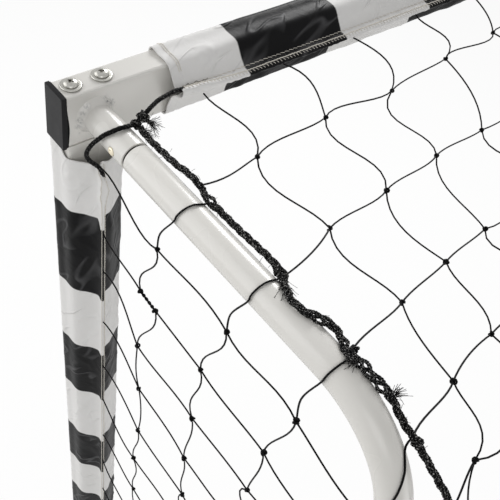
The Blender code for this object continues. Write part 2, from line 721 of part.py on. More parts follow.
def make_side_ropes(cord):
    """Along the depth tube's inner top side, over its bend, then down the net's rear seam."""
    wrap = (TUBE_RADIUS + ROPE_RADIUS + ROPE_CLEARANCE) * math.sqrt(0.5)
    inward = TUBE_INWARD + wrap
    down = TUBE_DOWN - wrap
    for side_name, side in SIDES.items():
        points = [
            spot(side, inward, LOOP_BACK + 2 * ROPE_RADIUS + ROPE_CLEARANCE, down),
            spot(side, inward, STRAIGHT_RUN / 2, down),
            spot(side, inward, STRAIGHT_RUN * 0.93, down),
        ]
        reach = BEND_RADIUS + wrap
        for degrees in range(0, SEAM_LEAVES_TUBE_AT + 1, 15):
            angle = math.radians(degrees)
            back = STRAIGHT_RUN + reach * math.sin(angle)
            points.append(spot(side, inward, back, TUBE_DOWN + BEND_RADIUS - reach * math.cos(angle)))
        leave = points[-1]
        foot = seam_foot(side)
        knee_back, knee_down = seam_knee()
        knee = spot(side, inward + SEAM_KNEE_INWARD, knee_back, knee_down)
        points += [leave.lerp(knee, 0.5), knee, *(knee.lerp(foot, share) for share in SEAM_SHARES)]
        add_object(f"side_rope_{side_name}", rope("side_rope", smooth(points, 3), ROPE_RADIUS), cord)


def strand_edges(centres, length):
    """Both edges of each strand as shares of the panel's length, with the outer strands inside it."""
    half = STRAND_WIDTH / 2
    edges = []
    for centre in (half, *centres, length - half):
        edges += [(centre - half) / length, (centre + half) / length]
    return edges


def net_panel(name, us, vs, surface):
    """A sheet of crossing strands between the given edges. surface(u, v) gives its middle."""
    shape = bmesh.new()
    reach = 0.01
    front, rear = [], []
    for u in us:
        front.append([])
        rear.append([])
        for v in vs:
            across = surface(u + reach, v) - surface(u - reach, v)
            along = surface(u, v + reach) - surface(u, v - reach)
            offset = across.cross(along).normalized() * (NET_THICKNESS / 2)
            front[-1].append(shape.verts.new(surface(u, v) + offset))
            rear[-1].append(shape.verts.new(surface(u, v) - offset))

    def is_strand(i, j):
        inside = 0 <= i < len(us) - 1 and 0 <= j < len(vs) - 1
        return inside and (i % 2 == 0 or j % 2 == 0)

    for i in range(len(us) - 1):
        for j in range(len(vs) - 1):
            if not is_strand(i, j):
                continue
            corners = [(i, j), (i + 1, j), (i + 1, j + 1), (i, j + 1)]
            shape.faces.new([front[a][b] for a, b in corners])
            shape.faces.new([rear[a][b] for a, b in reversed(corners)])
            beside = [(i, j - 1), (i + 1, j), (i, j + 1), (i - 1, j)]
            for k, neighbour in enumerate(beside):
                if not is_strand(*neighbour):
                    (a, b), (c, d) = corners[k], corners[(k + 1) % 4]
                    shape.faces.new((front[c][d], front[a][b], rear[a][b], rear[c][d]))
    bmesh.ops.recalc_face_normals(shape, faces=shape.faces)
    mesh = bpy.data.meshes.new(name)
    shape.to_mesh(mesh)
    shape.free()
    return mesh


def lengths_along(line):
    return [0.0, *itertools.accumulate((b - a).length for a, b in zip(line, line[1:]))]


def net_lines():
    """(back, down) lines from the crossbar's hem to the rear tube: at the net's sides and amid them."""
    hem = Vector((HEM_BACK, CROSSBAR_HEM_DOWN))
    fold = Vector((ROOF_END_BACK, ROOF_END_DOWN))
    foot = Vector((REAR_BACK, GOAL_HEIGHT - 2 * TUBE_RADIUS))
    slope = (foot - fold).normalized()
    foot.y -= TOUCH_GAP + NET_THICKNESS / 2 * slope.x
    amid = [hem, *(Vector(place) for place in ROOF_SAGS_THROUGH)]
    sides = []
    for share in [length / lengths_along(amid)[-1] for length in lengths_along(amid)]:
        sides.append(hem.lerp(fold, share))
    return [*sides, foot], [*amid, foot]


def hanging(x, share, lines):
    """The net's place at x, at a share of the sides' way from the hem's middle to the rear tube."""
    sides, amid = lines
    at = lengths_along(sides)
    index = max(i for i in range(len(sides) - 1) if i == 0 or at[i] <= share * at[-1])
    part = (share * at[-1] - at[index]) / (at[index + 1] - at[index])
    sag = max(0.0, 1 - (x / HALF_WIDTH) ** 2) ** NET_SAG_SHAPE
    taut = sides[index].lerp(sides[index + 1], part)
    place = taut.lerp(amid[index].lerp(amid[index + 1], part), sag)
    hem = sides[0]
    clear = ROPE_RADIUS + TOUCH_GAP + CLOTH + TOUCH_GAP
    if (place - hem).length < clear:
        place = hem + (place - hem).normalized() * clear
    return Vector((x, BAR_BACK - place.x, GOAL_HEIGHT - place.y))


def make_roof_and_back(twine):
    """One hanging sheet from the crossbar's hem to the rear tube, in two panels that meet at the bends."""
    lines = net_lines()
    runs = lengths_along(lines[0])
    clear = ROPE_RADIUS + TOUCH_GAP + CLOTH + TOUCH_GAP
    roof_length, back_length = runs[-2] - clear, runs[-1] - runs[-2] - TOUCH_GAP
    side_gap = TUBE_INWARD + TUBE_RADIUS + ROOF_BESIDE_TUBE
    width = GOAL_WIDTH - 2 * side_gap
    top_half = HALF_WIDTH - side_gap - BACK_NET_INSIDE_ROOF
    foot_half = HALF_WIDTH - SEAM_FOOT_INWARD - 2 * ROPE_RADIUS
    columns = [NET_FIRST_COLUMN - side_gap + i * NET_COLUMN_PITCH for i in range(NET_COLUMNS)]

    def roof(u, v):
        x = (u - 0.5) * (width - 2 * SEAM_KNEE_INWARD * v)
        return hanging(x, (clear + roof_length * v) / runs[-1], lines)

    us = strand_edges(columns, width)
    vs = strand_edges([ROOF_ROW - clear], roof_length)
    add_object("roof_net", net_panel("roof_net", us, vs, roof), twine)

    def back(u, v):
        x = (2 * u - 1) * (top_half + (foot_half - top_half) * v)
        return hanging(x, (runs[-2] + TOUCH_GAP + back_length * v) / runs[-1], lines)

    us = strand_edges([column - BACK_NET_INSIDE_ROOF for column in columns], 2 * top_half)
    vs = strand_edges([BACK_FIRST_ROW + i * BACK_ROW_PITCH for i in range(BACK_ROWS)], back_length)
    add_object("back_net", net_panel("back_net", us, vs, back), twine)


def inside(polygon, start, end, inset):
    """The polygon's part on the inner side of a line, and at least the inset away from it."""
    way = (end - start).normalized()
    depths = [way.x * (point - start).y - way.y * (point - start).x - inset for point in polygon]
    kept = []
    for i, (point, depth) in enumerate(zip(polygon, depths)):
        last, other = polygon[i - 1], depths[i - 1]
        if (depth >= 0) != (other >= 0):
            kept.append(last.lerp(point, other / (other - depth)))
        if depth >= 0:
            kept.append(point)
    return kept


def side_net_meshes(outline):
    """The openings between the side panel's strands, as (back, down) polygons."""
    backs = [SIDE_FIRST_COLUMN + i * SIDE_COLUMN_PITCH for i in range(SIDE_COLUMNS)]
    downs = [SIDE_FIRST_ROW + i * SIDE_ROW_PITCH for i in range(SIDE_ROWS)]
    half = STRAND_WIDTH / 2
    meshes = []
    for left, right in zip([0, *backs], [*backs, REAR_BACK]):
        for top, bottom in zip([0, *downs], [*downs, GOAL_HEIGHT]):
            mesh = [
                Vector((left + half, top + half)),
                Vector((right - half, top + half)),
                Vector((right - half, bottom - half)),
                Vector((left + half, bottom - half)),
            ]
            for start, end in zip(outline, outline[1:] + outline[:1]):
                mesh = inside(mesh, start, end, STRAND_WIDTH) if mesh else []
            if mesh and min(max(p[k] for p in mesh) - min(p[k] for p in mesh) for k in (0, 1)) > SMALLEST_MESH:
                meshes.append(mesh)
    return meshes


def make_side_nets(twine):
    """Hangs on the outer side of the depth tube, from the post's hem to the rear seam."""
    middle = TUBE_INWARD - TUBE_RADIUS - TOUCH_GAP - NET_THICKNESS / 2
    foot_down = GOAL_HEIGHT - SIDE_NET_ABOVE_GROUND
    outline = [
        Vector((HEM_BACK, POST_SLEEVE_BELOW_TOP + SIDE_NET_BELOW_SLEEVE_TOP)),
        Vector((STUB_LENGTH + GROOVE + SHOULDER, TUBE_DOWN)),
        Vector((STRAIGHT_RUN, TUBE_DOWN)),
        Vector((STRAIGHT_RUN + BEND_RADIUS * 0.6, TUBE_DOWN + BEND_RADIUS * 0.2)),
        Vector(seam_knee()),
        Vector((REAR_BACK - SIDE_NET_AHEAD_OF_REAR, foot_down)),
        Vector((HEM_BACK, foot_down)),
    ]

    def slab(polygon, thickness):
        rings = []
        for x in (-thickness / 2, thickness / 2):
            rings.append([Vector((x, BAR_BACK - back, GOAL_HEIGHT - down)) for back, down in polygon])
        return loft("slab", rings)

    openings = bmesh.new()
    for opening in side_net_meshes(outline):
        openings.from_mesh(slab(opening, 3 * NET_THICKNESS))
    cutter_mesh = bpy.data.meshes.new("side_net_openings")
    openings.to_mesh(cutter_mesh)
    openings.free()
    for side_name, side in SIDES.items():
        place = Matrix.Translation(Vector((side * (HALF_WIDTH - middle), 0, 0)))
        name = f"side_net_{side_name}"
        panel = add_object(name, slab(outline, NET_THICKNESS), twine, place)
        cut(panel, add_cutter(f"{name}_openings", cutter_mesh.copy(), place))


def build():
    clear_scene()
    paint = make_material("white_powder_coat", "#e8e7e3", 0.35)
    plastic = make_material("black_plastic", "#1d1f24", 0.5)
    zinc = make_material("zinc_plated_steel", "#b7babd", 0.35, 1.0)
    brass = make_material("yellow_zinc_plate", "#cdb98a", 0.35, 1.0)
    steel = make_material("spring_steel", "#6f7275", 0.4, 1.0)
    fabric = make_material("coated_sleeve_fabric", "#f1f0ee", 0.45)
    cord = make_material("braided_rope", "#17171a", 0.8)
    twine = make_material("net_twine", "#1a1a1d", 0.8)
    make_crossbar(paint, plastic)
    make_posts(paint, plastic, zinc)
    make_corner_bolts(zinc)
    make_round_frame(paint, brass, steel)
    make_sleeves(fabric)
    make_border_rope(cord)
    make_side_ropes(cord)
    make_roof_and_back(twine)
    make_side_nets(twine)


build()
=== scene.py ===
"""The looks of a steel soccer goal with striped sleeves and a knotted net, built round its CAD frame.

Places are in metres in the frame's axes: +X along the crossbar, +Y out of the mouth, +Z up. Most are
given in millimetres from a top rear corner: inward from the crossbar's end, back and down.
"""

import json
import math

import bmesh
import bpy
import numpy as np
from mathutils import Matrix, Quaternion, Vector, noise


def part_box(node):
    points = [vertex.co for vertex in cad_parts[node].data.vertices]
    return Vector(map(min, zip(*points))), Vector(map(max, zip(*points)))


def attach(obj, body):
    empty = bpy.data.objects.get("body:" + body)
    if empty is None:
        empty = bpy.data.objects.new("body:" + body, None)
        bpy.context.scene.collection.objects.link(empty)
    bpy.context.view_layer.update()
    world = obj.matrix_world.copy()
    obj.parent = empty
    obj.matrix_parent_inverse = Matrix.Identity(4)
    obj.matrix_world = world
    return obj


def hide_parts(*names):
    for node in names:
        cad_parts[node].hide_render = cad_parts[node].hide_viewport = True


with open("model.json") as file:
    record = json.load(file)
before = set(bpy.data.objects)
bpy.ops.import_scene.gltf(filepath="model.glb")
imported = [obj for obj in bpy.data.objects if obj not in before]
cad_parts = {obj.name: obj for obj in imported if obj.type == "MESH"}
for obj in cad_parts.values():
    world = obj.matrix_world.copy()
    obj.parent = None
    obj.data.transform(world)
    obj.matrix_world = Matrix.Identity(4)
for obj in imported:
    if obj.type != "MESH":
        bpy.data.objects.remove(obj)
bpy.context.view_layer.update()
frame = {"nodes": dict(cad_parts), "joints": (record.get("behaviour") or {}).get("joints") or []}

# The studio: a pale floor, a white surround that only the camera and mirrors see at full strength,
# and soft lamps. The camera looks down on the goal's left top corner from outside and behind.
FLOOR_COLOUR = "#f4f4f3"
SURROUND_LIGHT = 0.43
FLOOR_GLOW = 0.88
WHITE = (1.0, 1.0, 1.0, 1.0)
CAMERA_PLACE = (-1.43968, -0.01218, 1.9925)
CAMERA_RIGHT = (0.77055547, -0.6217116, 0.14042417)
CAMERA_UP = (0.39713068, 0.64063991, 0.65716644)
CAMERA_LENS = 56.57
LAMPS = {
    # name: (place, aimed at, width, power in watts)
    "lamp_left": ((-3.3, 2.5, 2.5), (-1.2, 0.3, 1.4), 3.4, 68),
    "lamp_mouth": ((1.0, 2.0, 2.85), (-1.2, 0.3, 1.4), 1.0, 55),
    "lamp_behind": ((-2.4, -1.6, 2.7), (-1.2, 0.4, 1.5), 1.4, 12),
    "lamp_low": ((0.1, -2.2, 0.45), (-1.2, 0.3, 1.4), 2.0, 20),
}


def linear(hex_colour):
    """An sRGB hex colour as the linear values that a shader takes."""
    values = [int(hex_colour[i : i + 2], 16) / 255 for i in (1, 3, 5)]
    return [v / 12.92 if v <= 0.04045 else ((v + 0.055) / 1.055) ** 2.4 for v in values]


def rgba(hex_colour):
    return (*linear(hex_colour), 1.0)


def add_node(tree, kind, inputs=None, **settings):
    """Adds a node with its settings. Each input takes a value, or a socket that it is linked to."""
    node = tree.nodes.new(kind)
    for key, value in settings.items():
        setattr(node, key, value)
    for key, value in (inputs or {}).items():
        if isinstance(value, bpy.types.NodeSocket):
            tree.links.new(value, node.inputs[key])
        else:
            node.inputs[key].default_value = value
    return node


def new_material(name):
    """A material with only its output to come, its node tree, and the piece's own coordinates."""
    material = bpy.data.materials.new(name)
    material.use_nodes = True
    tree = material.node_tree
    tree.nodes.clear()
    return material, tree, add_node(tree, "ShaderNodeTexCoord").outputs["Object"]


def math_of(tree, operation, *values):
    """What a math node makes of the sockets and numbers."""
    return add_node(tree, "ShaderNodeMath", dict(enumerate(values)), operation=operation).outputs[0]


def in_scene(name, data):
    """A new object in the scene."""
    thing = bpy.data.objects.new(name, data)
    bpy.context.scene.collection.objects.link(thing)
    return thing


for name, (place, target, width, watts) in LAMPS.items():
    light = bpy.data.lights.new(name, "AREA")
    light.size = width
    light.energy = watts
    holder = in_scene(name, light)
    holder.location = place
    holder.rotation_euler = (Vector(target) - Vector(place)).to_track_quat("-Z", "Y").to_euler()

world = bpy.data.worlds.new("white_surround")
bpy.context.scene.world = world
world.use_nodes = True
tree = world.node_tree
tree.nodes.clear()
ray = add_node(tree, "ShaderNodeLightPath").outputs
seen = math_of(tree, "MAXIMUM", ray["Is Camera Ray"], ray["Is Glossy Ray"])
seen = math_of(tree, "MAXIMUM", seen, ray["Is Transmission Ray"])
strength = add_node(tree, "ShaderNodeMapRange", {"Value": seen, "To Min": SURROUND_LIGHT}).outputs["Result"]
surround = add_node(tree, "ShaderNodeBackground", {"Color": WHITE, "Strength": strength})
add_node(tree, "ShaderNodeOutputWorld", {"Surface": surround.outputs[0]})

floor_material, tree, _ = new_material("pale_studio_floor")
paint = add_node(tree, "ShaderNodeBsdfDiffuse", {"Color": rgba(FLOOR_COLOUR)})
glow = add_node(tree, "ShaderNodeEmission", {"Color": WHITE, "Strength": 1.0})
ray = add_node(tree, "ShaderNodeLightPath").outputs
share = math_of(tree, "MAXIMUM", ray["Is Camera Ray"], ray["Is Glossy Ray"])
share = math_of(tree, "MULTIPLY", share, FLOOR_GLOW)
surface = add_node(tree, "ShaderNodeMixShader", {0: share, 1: paint.outputs[0], 2: glow.outputs[0]})
add_node(tree, "ShaderNodeOutputMaterial", {"Surface": surface.outputs[0]})
floor_mesh = bpy.data.meshes.new("floor")
floor_mesh.from_pydata([(-30, -30, 0), (30, -30, 0), (30, 30, 0), (-30, 30, 0)], [], [(0, 1, 2, 3)])
floor_mesh.materials.append(floor_material)
in_scene("floor", floor_mesh)

camera = in_scene("camera", bpy.data.cameras.new("camera"))
camera.data.lens = CAMERA_LENS
camera.data.clip_start = 0.01
right, up = Vector(CAMERA_RIGHT), Vector(CAMERA_UP)
turn = Matrix((right, up, right.cross(up))).transposed()
camera.matrix_world = Matrix.Translation(CAMERA_PLACE) @ turn.to_4x4()
bpy.context.scene.camera = camera
bpy.context.scene.view_settings.view_transform = "Standard"

# The bars: the crossbar's two halves with a sleeve joint, and the posts. Rectangular steel tube,
# powder coated off-white, which leaves a satin skin whose tone and gloss drift a little.
MM = 0.001
HALF_WIDTH = 1200
BAR_FACE = 50
BAR_DEPTH = 25
BAR_BACK = 423.9
GOAL_HEIGHT = 1600
SIDES = {"left": -1, "right": 1}
POWDER_COAT = "#dddbd7"
POWDER_COAT_WARM = "#d6d4ce"
COAT_DRIFT = 90
COAT_ROUGHNESS = (0.24, 0.3)
WELD_SOOT = "#4f555c"
SOOT_GRAIN = 2.2
# Soot strokes round a weld: inward, below the weld's level less 25 mm, size and strength.
SOOT_MARKS = (
    (36, 15, 5.5, 0.9), (40, 17.5, 5, 1.0), (43, 21.5, 4, 0.8), (34, 12, 6, 0.4), (17, 13, 5, 0.6),
    (13.5, 18, 5, 0.8), (10.5, 24, 5, 0.8), (9, 31, 5, 0.6), (12, 38, 5, 0.4),
)


def spot(side, inward, back, down):
    """A place in metres from millimetres inward, back and down from a top rear corner."""
    return np.array([side * (HALF_WIDTH - inward), BAR_BACK - back, GOAL_HEIGHT - down]) * MM


def grain(tree, place, size, detail=2.0, distortion=0.0):
    """Noise with grains of about the given size in mm."""
    inputs = {"Vector": place, "Scale": 1 / (size * MM), "Detail": detail, "Distortion": distortion}
    return add_node(tree, "ShaderNodeTexNoise", inputs).outputs["Fac"]


def ranged(tree, value, start, end, low=0.0, high=1.0, curve="LINEAR"):
    """Takes the value's run from low to high to a run from start to end."""
    inputs = {"Value": value, "From Min": low, "From Max": high, "To Min": start, "To Max": end}
    return add_node(tree, "ShaderNodeMapRange", inputs, interpolation_type=curve).outputs["Result"]


def mixed(tree, share, *colours):
    """Two colours mixed, each a hex value or a socket."""
    first, second = (rgba(colour) if isinstance(colour, str) else colour for colour in colours)
    inputs = {"Factor": share, 6: first, 7: second}
    return add_node(tree, "ShaderNodeMix", inputs, data_type="RGBA").outputs[2]


def bumped(tree, height, strength, depth, over=None):
    """The normal of dents a depth in mm, on top of those of another bump where one is given."""
    inputs = {"Height": height, "Strength": strength, "Distance": depth * MM}
    if over:
        inputs["Normal"] = over
    return add_node(tree, "ShaderNodeBump", inputs).outputs["Normal"]


def shaded(material, **inputs):
    """Ends a material in a principled shader, with an underscore for each space in an input's name."""
    tree = material.node_tree
    inputs = {name.replace("_", " "): value for name, value in inputs.items()}
    shader = add_node(tree, "ShaderNodeBsdfPrincipled", inputs)
    add_node(tree, "ShaderNodeOutputMaterial", {"Surface": shader.outputs[0]})
    return material


def powder_coat(name, weld_down=None):
    """Satin powder coat, with dark soot strokes round the welds where a height for them is given."""
    material, tree, place = new_material(name)
    drift = grain(tree, place, COAT_DRIFT)
    base = mixed(tree, drift, POWDER_COAT, POWDER_COAT_WARM)
    if weld_down is not None:
        mirrored = add_node(tree, "ShaderNodeVectorMath", {0: place}, operation="ABSOLUTE").outputs[0]
        marks = 0.0
        for inward, down, size, strength in SOOT_MARKS:
            ends = {0: mirrored, 1: spot(1, inward, 1.5, weld_down + down)}
            away = add_node(tree, "ShaderNodeVectorMath", ends, operation="DISTANCE").outputs["Value"]
            mark = ranged(tree, away, strength, 0.0, 0.0, size * MM, "SMOOTHSTEP")
            marks = math_of(tree, "MAXIMUM", mark, marks)
        strokes = ranged(tree, grain(tree, place, SOOT_GRAIN, distortion=0.5), 0.0, 1.0, 0.36, 0.72)
        base = mixed(tree, math_of(tree, "MULTIPLY", strokes, marks), base, WELD_SOOT)
    return shaded(material, Base_Color=base, Roughness=ranged(tree, drift, *COAT_ROUGHNESS), IOR=1.5)


def dress(node, material):
    """Gives a CAD node its finish."""
    piece = frame["nodes"][node]
    if not piece.data.materials:
        piece.data.materials.append(material)
    for slot in piece.material_slots:
        slot.material = material


powder_coated_steel = powder_coat("powder_coated_steel")
sooty_crossbar_coat = powder_coat("powder_coat_by_top_weld", 0)
sooty_post_coat = powder_coat("powder_coat_by_foot_weld", GOAL_HEIGHT - 38)
for side_name in SIDES:
    dress(f"crossbar_{side_name}", sooty_crossbar_coat)
    dress(f"post_{side_name}", sooty_post_coat)
dress("crossbar_coupler", powder_coated_steel)

# The end caps: black polypropylene plugs pressed into the crossbar's ends, with a fine grain. The plate
# isn't pressed quite home, lower down less than at the top, so a gap shows beside the tube's end. A sheet
# coloured near black lies in the gap and paints the shade there.
CAP_OUTLINE = (BAR_DEPTH + 1.6, BAR_FACE + 1.6)
# Each ring of the cap: how far out, and how far inside the plate's outline.
CAP_LAYERS = (
    (-6, 2.6), (0.2, 2.6), (0.2, 0.55), (1.15, 0.6), (1.2, 0.0), (4.5, 0.0), (4.78, 0.12), (4.95, 0.4),
    (4.95, 3.0),
)
CAP_LEAN = 0.55
CAP_CORNER = 0.7
# The edge of the gap's painted shade on the rear face: how far down, and how far in along the bar.
CAP_GAP = ((0, -0.9), (6, -0.5), (17, 0.4), (25, 1.3), (31, 1.6), (36, 1.4), (42, 0.8), (47, 0.3), (50, 0.1))
GAP_PROUD = 0.12
CAP_BLACK = "#262627"
PLASTIC_GRAIN = 0.35
SCUFF = 14


def skin(rings, looped=False, capped=False):
    """A mesh skinned over equal rings of points. looped joins the last ring to the first."""
    rings = np.asarray(rings, float)
    count, sides = rings.shape[:2]
    faces = []
    for i in range(count if looped else count - 1):
        here, there = i * sides, (i + 1) % count * sides
        for j in range(sides):
            k = (j + 1) % sides
            faces.append((here + j, here + k, there + k, there + j))
    if capped:
        faces.append(tuple(range(sides)))
        faces.append(tuple(range((count - 1) * sides, count * sides)))
    mesh = bpy.data.meshes.new("skin")
    mesh.from_pydata(rings.reshape(-1, 3).tolist(), [], faces)
    shape = bmesh.new()
    shape.from_mesh(mesh)
    bmesh.ops.recalc_face_normals(shape, faces=shape.faces)
    shape.to_mesh(mesh)
    shape.free()
    return mesh


def smooth(mesh, sharp):
    """Smooth shading, but for edges that turn by more than an angle in degrees."""
    mesh.shade_smooth()
    mesh.set_sharp_from_angle(angle=math.radians(sharp))


def add_piece(name, mesh, material=None, sharp=35):
    mesh.name = name
    if material:
        mesh.materials.clear()
        mesh.materials.append(material)
    smooth(mesh, sharp)
    return in_scene(name, mesh)


def plain(piece, name=None):
    """The piece with its modifiers worked into a plain mesh."""
    graph = bpy.context.evaluated_depsgraph_get()
    mesh = bpy.data.meshes.new_from_object(piece.evaluated_get(graph))
    piece.modifiers.clear()
    piece.data = mesh
    piece.name = name or piece.name
    mesh.name = piece.name
    return piece


def mount(piece, slot, *nodes, body="frame"):
    """The piece rides on its body and stands for the CAD nodes, which it hides. The slot is not used."""
    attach(piece, body)
    if nodes:
        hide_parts(*nodes)
    return piece


def rounded(width, height, corner, steps=4):
    """A rectangle's outline with round corners, centred on zero."""
    points = []
    for quarter, (sx, sy) in enumerate(((1, 1), (-1, 1), (-1, -1), (1, -1))):
        for step in range(steps + 1):
            angle = math.pi / 2 * (quarter + step / steps)
            x = sx * (width / 2 - corner) + corner * math.cos(angle)
            y = sy * (height / 2 - corner) + corner * math.sin(angle)
            points.append((x, y))
    return points


def moulded_plastic(name, colour, size, roughness):
    """Dull moulded plastic with a fine grain, scuffed here and there."""
    material, tree, place = new_material(name)
    dents = bumped(tree, grain(tree, place, size), 0.35, 0.05)
    gloss = ranged(tree, grain(tree, place, SCUFF, 4.0), roughness - 0.08, roughness + 0.1)
    return shaded(material, Base_Color=rgba(colour), Roughness=gloss, Normal=dents, Specular_IOR_Level=0.08)


moulded_polypropylene = moulded_plastic("moulded_polypropylene", CAP_BLACK, PLASTIC_GRAIN, 0.4)
gap_painted_shade = moulded_plastic("shaded_cap_flange", "#0b0b0b", PLASTIC_GRAIN, 0.7)
for side_name, side in SIDES.items():
    rings = []
    for out, inset in CAP_LAYERS:
        width, height = CAP_OUTLINE[0] - 2 * inset, CAP_OUTLINE[1] - 2 * inset
        outline = rounded(width, height, CAP_CORNER)
        lean = [CAP_LEAN * (0.5 + z / BAR_FACE) if out > 0.2 else 0 for _, z in outline]
        rings.append(
            [spot(side, -out - a, y - BAR_DEPTH / 2, z + BAR_FACE / 2) for (y, z), a in zip(outline, lean)]
        )
    plate = skin(rings, capped=True)
    cap = add_piece(f"crossbar_end_cap_{side_name}", plate, moulded_polypropylene, 25)
    mount(cap, "black_plastic", f"crossbar_cap_{side_name}")
    # A near-black sheet across the gap beside the tube's end paints the shade in it.
    downs = np.linspace(0.4, BAR_FACE - 0.4, 40)
    rings = []
    for down, inward in zip(downs, np.interp(downs, *np.transpose(CAP_GAP))):
        corners = ((-1.3, -0.5), (-1.3, GAP_PROUD), (inward, GAP_PROUD), (inward, -0.5))
        rings.append([spot(side, inward_at, back, down) for inward_at, back in corners])
    gap = add_piece(f"crossbar_cap_gap_{side_name}", skin(rings, capped=True), gap_painted_shade)
    mount(gap, "black_plastic")

# Plugs in the posts' feet, moulded from the same plastic, and the threaded plate inside each post's
# top, plain zinc-plated steel. They keep their CAD shape.
ZINC = "#bab9b4"
ZINC_DARK = "#8f8e88"


def plated_steel(name, bright, dull, roughness, crystal):
    """Electroplated steel: a metal with a faint mottle in its colour and gloss."""
    material, tree, place = new_material(name)
    mottle = grain(tree, place, crystal, 3.0)
    gloss = ranged(tree, mottle, roughness - 0.06, roughness + 0.1)
    return shaded(material, Base_Color=mixed(tree, mottle, bright, dull), Metallic=1.0, Roughness=gloss)


zinc_plated_steel = plated_steel("zinc_plated_steel", ZINC, ZINC_DARK, 0.3, 1.4)
for side_name in SIDES:
    dress(f"post_foot_plug_{side_name}", moulded_polypropylene)
    dress(f"post_nut_plate_{side_name}", zinc_plated_steel)

# The corner fixings: two bolts at each top corner, through the crossbar into the post's plate. Each has
# a domed head with a cross recess, over a stamped washer. Both are zinc plated and fairly bright.
BOLT_FROM_END = {"outer": 11, "inner": 39}
WASHER_PROFILE = (
    (3.3, 0.35), (3.3, 1.75), (3.7, 1.9), (7.6, 1.9), (8.6, 1.7), (9.0, 1.25), (9.0, 0.8), (8.7, 0.3),
)
HEAD_PROFILE = (
    (3.0, -50.0), (3.0, 1.9), (6.0, 1.9), (6.2, 2.15), (6.15, 2.7), (5.8, 3.4), (5.2, 4.0), (4.3, 4.55),
    (3.2, 4.95), (2.0, 5.15), (0.9, 5.2),
)
RECESS_ARM = (6.4, 2.4)
RECESS_DEPTH = 2.3
RECESS_TAPER = 0.62
# How far the first bolt is turned, in radians, and each next one more.
FIRST_TURN = 0.55
NEXT_TURN = 0.35


def turned(profile, sides, looped=False):
    """A shape turned round +Z from (radius, height) pairs in millimetres."""
    angles = [math.tau * i / sides for i in range(sides)]
    rings = [[(r * MM * math.cos(a), r * MM * math.sin(a), z * MM) for a in angles] for r, z in profile]
    return skin(rings, looped, capped=not looped)


def cut(piece, cutter):
    modifier = piece.modifiers.new("cut", "BOOLEAN")
    modifier.solver = "EXACT"
    modifier.object = cutter


def work_nodes(piece, tree, **values):
    """Runs a geometry tree on the piece with its named inputs, and keeps the plain mesh."""
    modifier = piece.modifiers.new(tree.name, "NODES")
    modifier.node_group = tree
    for socket in tree.interface.items_tree:
        if socket.name in values:
            modifier[socket.identifier] = values[socket.name]
    return plain(piece)


def finished_tree(name, work, **sockets):
    """A geometry tree with named inputs, whose work ends as real geometry with the given finish."""
    tree = bpy.data.node_groups.new(name, "GeometryNodeTree")
    for label, kind in {**sockets, "Finish": "Material"}.items():
        tree.interface.new_socket(label, in_out="INPUT", socket_type=f"NodeSocket{kind}")
    tree.interface.new_socket("Made", in_out="OUTPUT", socket_type="NodeSocketGeometry")
    given = add_node(tree, "NodeGroupInput").outputs
    real = add_node(tree, "GeometryNodeRealizeInstances", {0: work(tree, given)})
    coated = add_node(tree, "GeometryNodeSetMaterial", {0: real.outputs[0], "Material": given["Finish"]})
    add_node(tree, "NodeGroupOutput", {0: coated.outputs[0]})
    return tree


def copy_on_each(tree, given):
    """A copy of an object on each point, turned by the point's turn and scaled by its size."""
    copied = add_node(tree, "GeometryNodeObjectInfo", {"Object": given["Copied"]})
    turns = add_node(tree, "GeometryNodeInputNamedAttribute", {"Name": "turn"}, data_type="QUATERNION")
    sizes = add_node(tree, "GeometryNodeInputNamedAttribute", {"Name": "size"}, data_type="FLOAT")
    inputs = {
        "Points": given["Places"],
        "Instance": copied.outputs["Geometry"],
        "Rotation": turns.outputs["Attribute"],
        "Scale": sizes.outputs["Attribute"],
    }
    return add_node(tree, "GeometryNodeInstanceOnPoints", inputs).outputs[0]


place_copies = finished_tree("place_copies", copy_on_each, Places="Geometry", Copied="Object")


def copies(name, pattern, places, turns, material, sizes=None):
    """One mesh with the pattern at each place, with the given quaternions as turns."""
    mesh = bpy.data.meshes.new(name)
    mesh.from_pydata([tuple(p) for p in places], [], [])
    turned_by = mesh.attributes.new("turn", "QUATERNION", "POINT")
    turned_by.data.foreach_set("value", np.array([tuple(q) for q in turns], np.float32).ravel())
    size = mesh.attributes.new("size", "FLOAT", "POINT")
    values = np.ones(len(places)) if sizes is None else sizes
    size.data.foreach_set("value", values.astype(np.float32))
    return work_nodes(in_scene(name, mesh), place_copies, Copied=pattern, Finish=material)


washer_pattern = add_piece("washer_pattern", turned(WASHER_PROFILE, 40, looped=True))
bolt_pattern = add_piece("bolt_pattern", turned(HEAD_PROFILE, 40))
recess_floor = HEAD_PROFILE[-1][1] - RECESS_DEPTH
arms = []
for quarter in (0, 1):
    outline = [(x, y) if quarter == 0 else (-y, x) for x, y in rounded(*RECESS_ARM, 0.5, 2)]
    levels = ((RECESS_TAPER, recess_floor), (1, recess_floor + 2 * RECESS_DEPTH))
    rings = [[(share * x * MM, share * y * MM, z * MM) for x, y in outline] for share, z in levels]
    arms.append(add_piece(f"recess_arm_{quarter}", skin(rings, capped=True)))
    cut(bolt_pattern, arms[-1])
plain(bolt_pattern)
smooth(bolt_pattern.data, 28)

bolts = [(side_name, which) for side_name in SIDES for which in BOLT_FROM_END]
places = [spot(SIDES[side_name], BOLT_FROM_END[which], -BAR_DEPTH / 2, 0) for side_name, which in bolts]
turns = [Quaternion((0, 0, 1), FIRST_TURN + NEXT_TURN * number) for number in range(len(bolts))]
for kind, pattern in (("washer", washer_pattern), ("bolt", bolt_pattern)):
    fixings = copies(f"corner_{kind}s", pattern, places, turns, zinc_plated_steel)
    mount(fixings, "zinc_plate", *(f"corner_{kind}_{side_name}_{which}" for side_name, which in bolts))
for helper in (washer_pattern, bolt_pattern, *arms):
    bpy.data.objects.remove(helper, do_unlink=True)
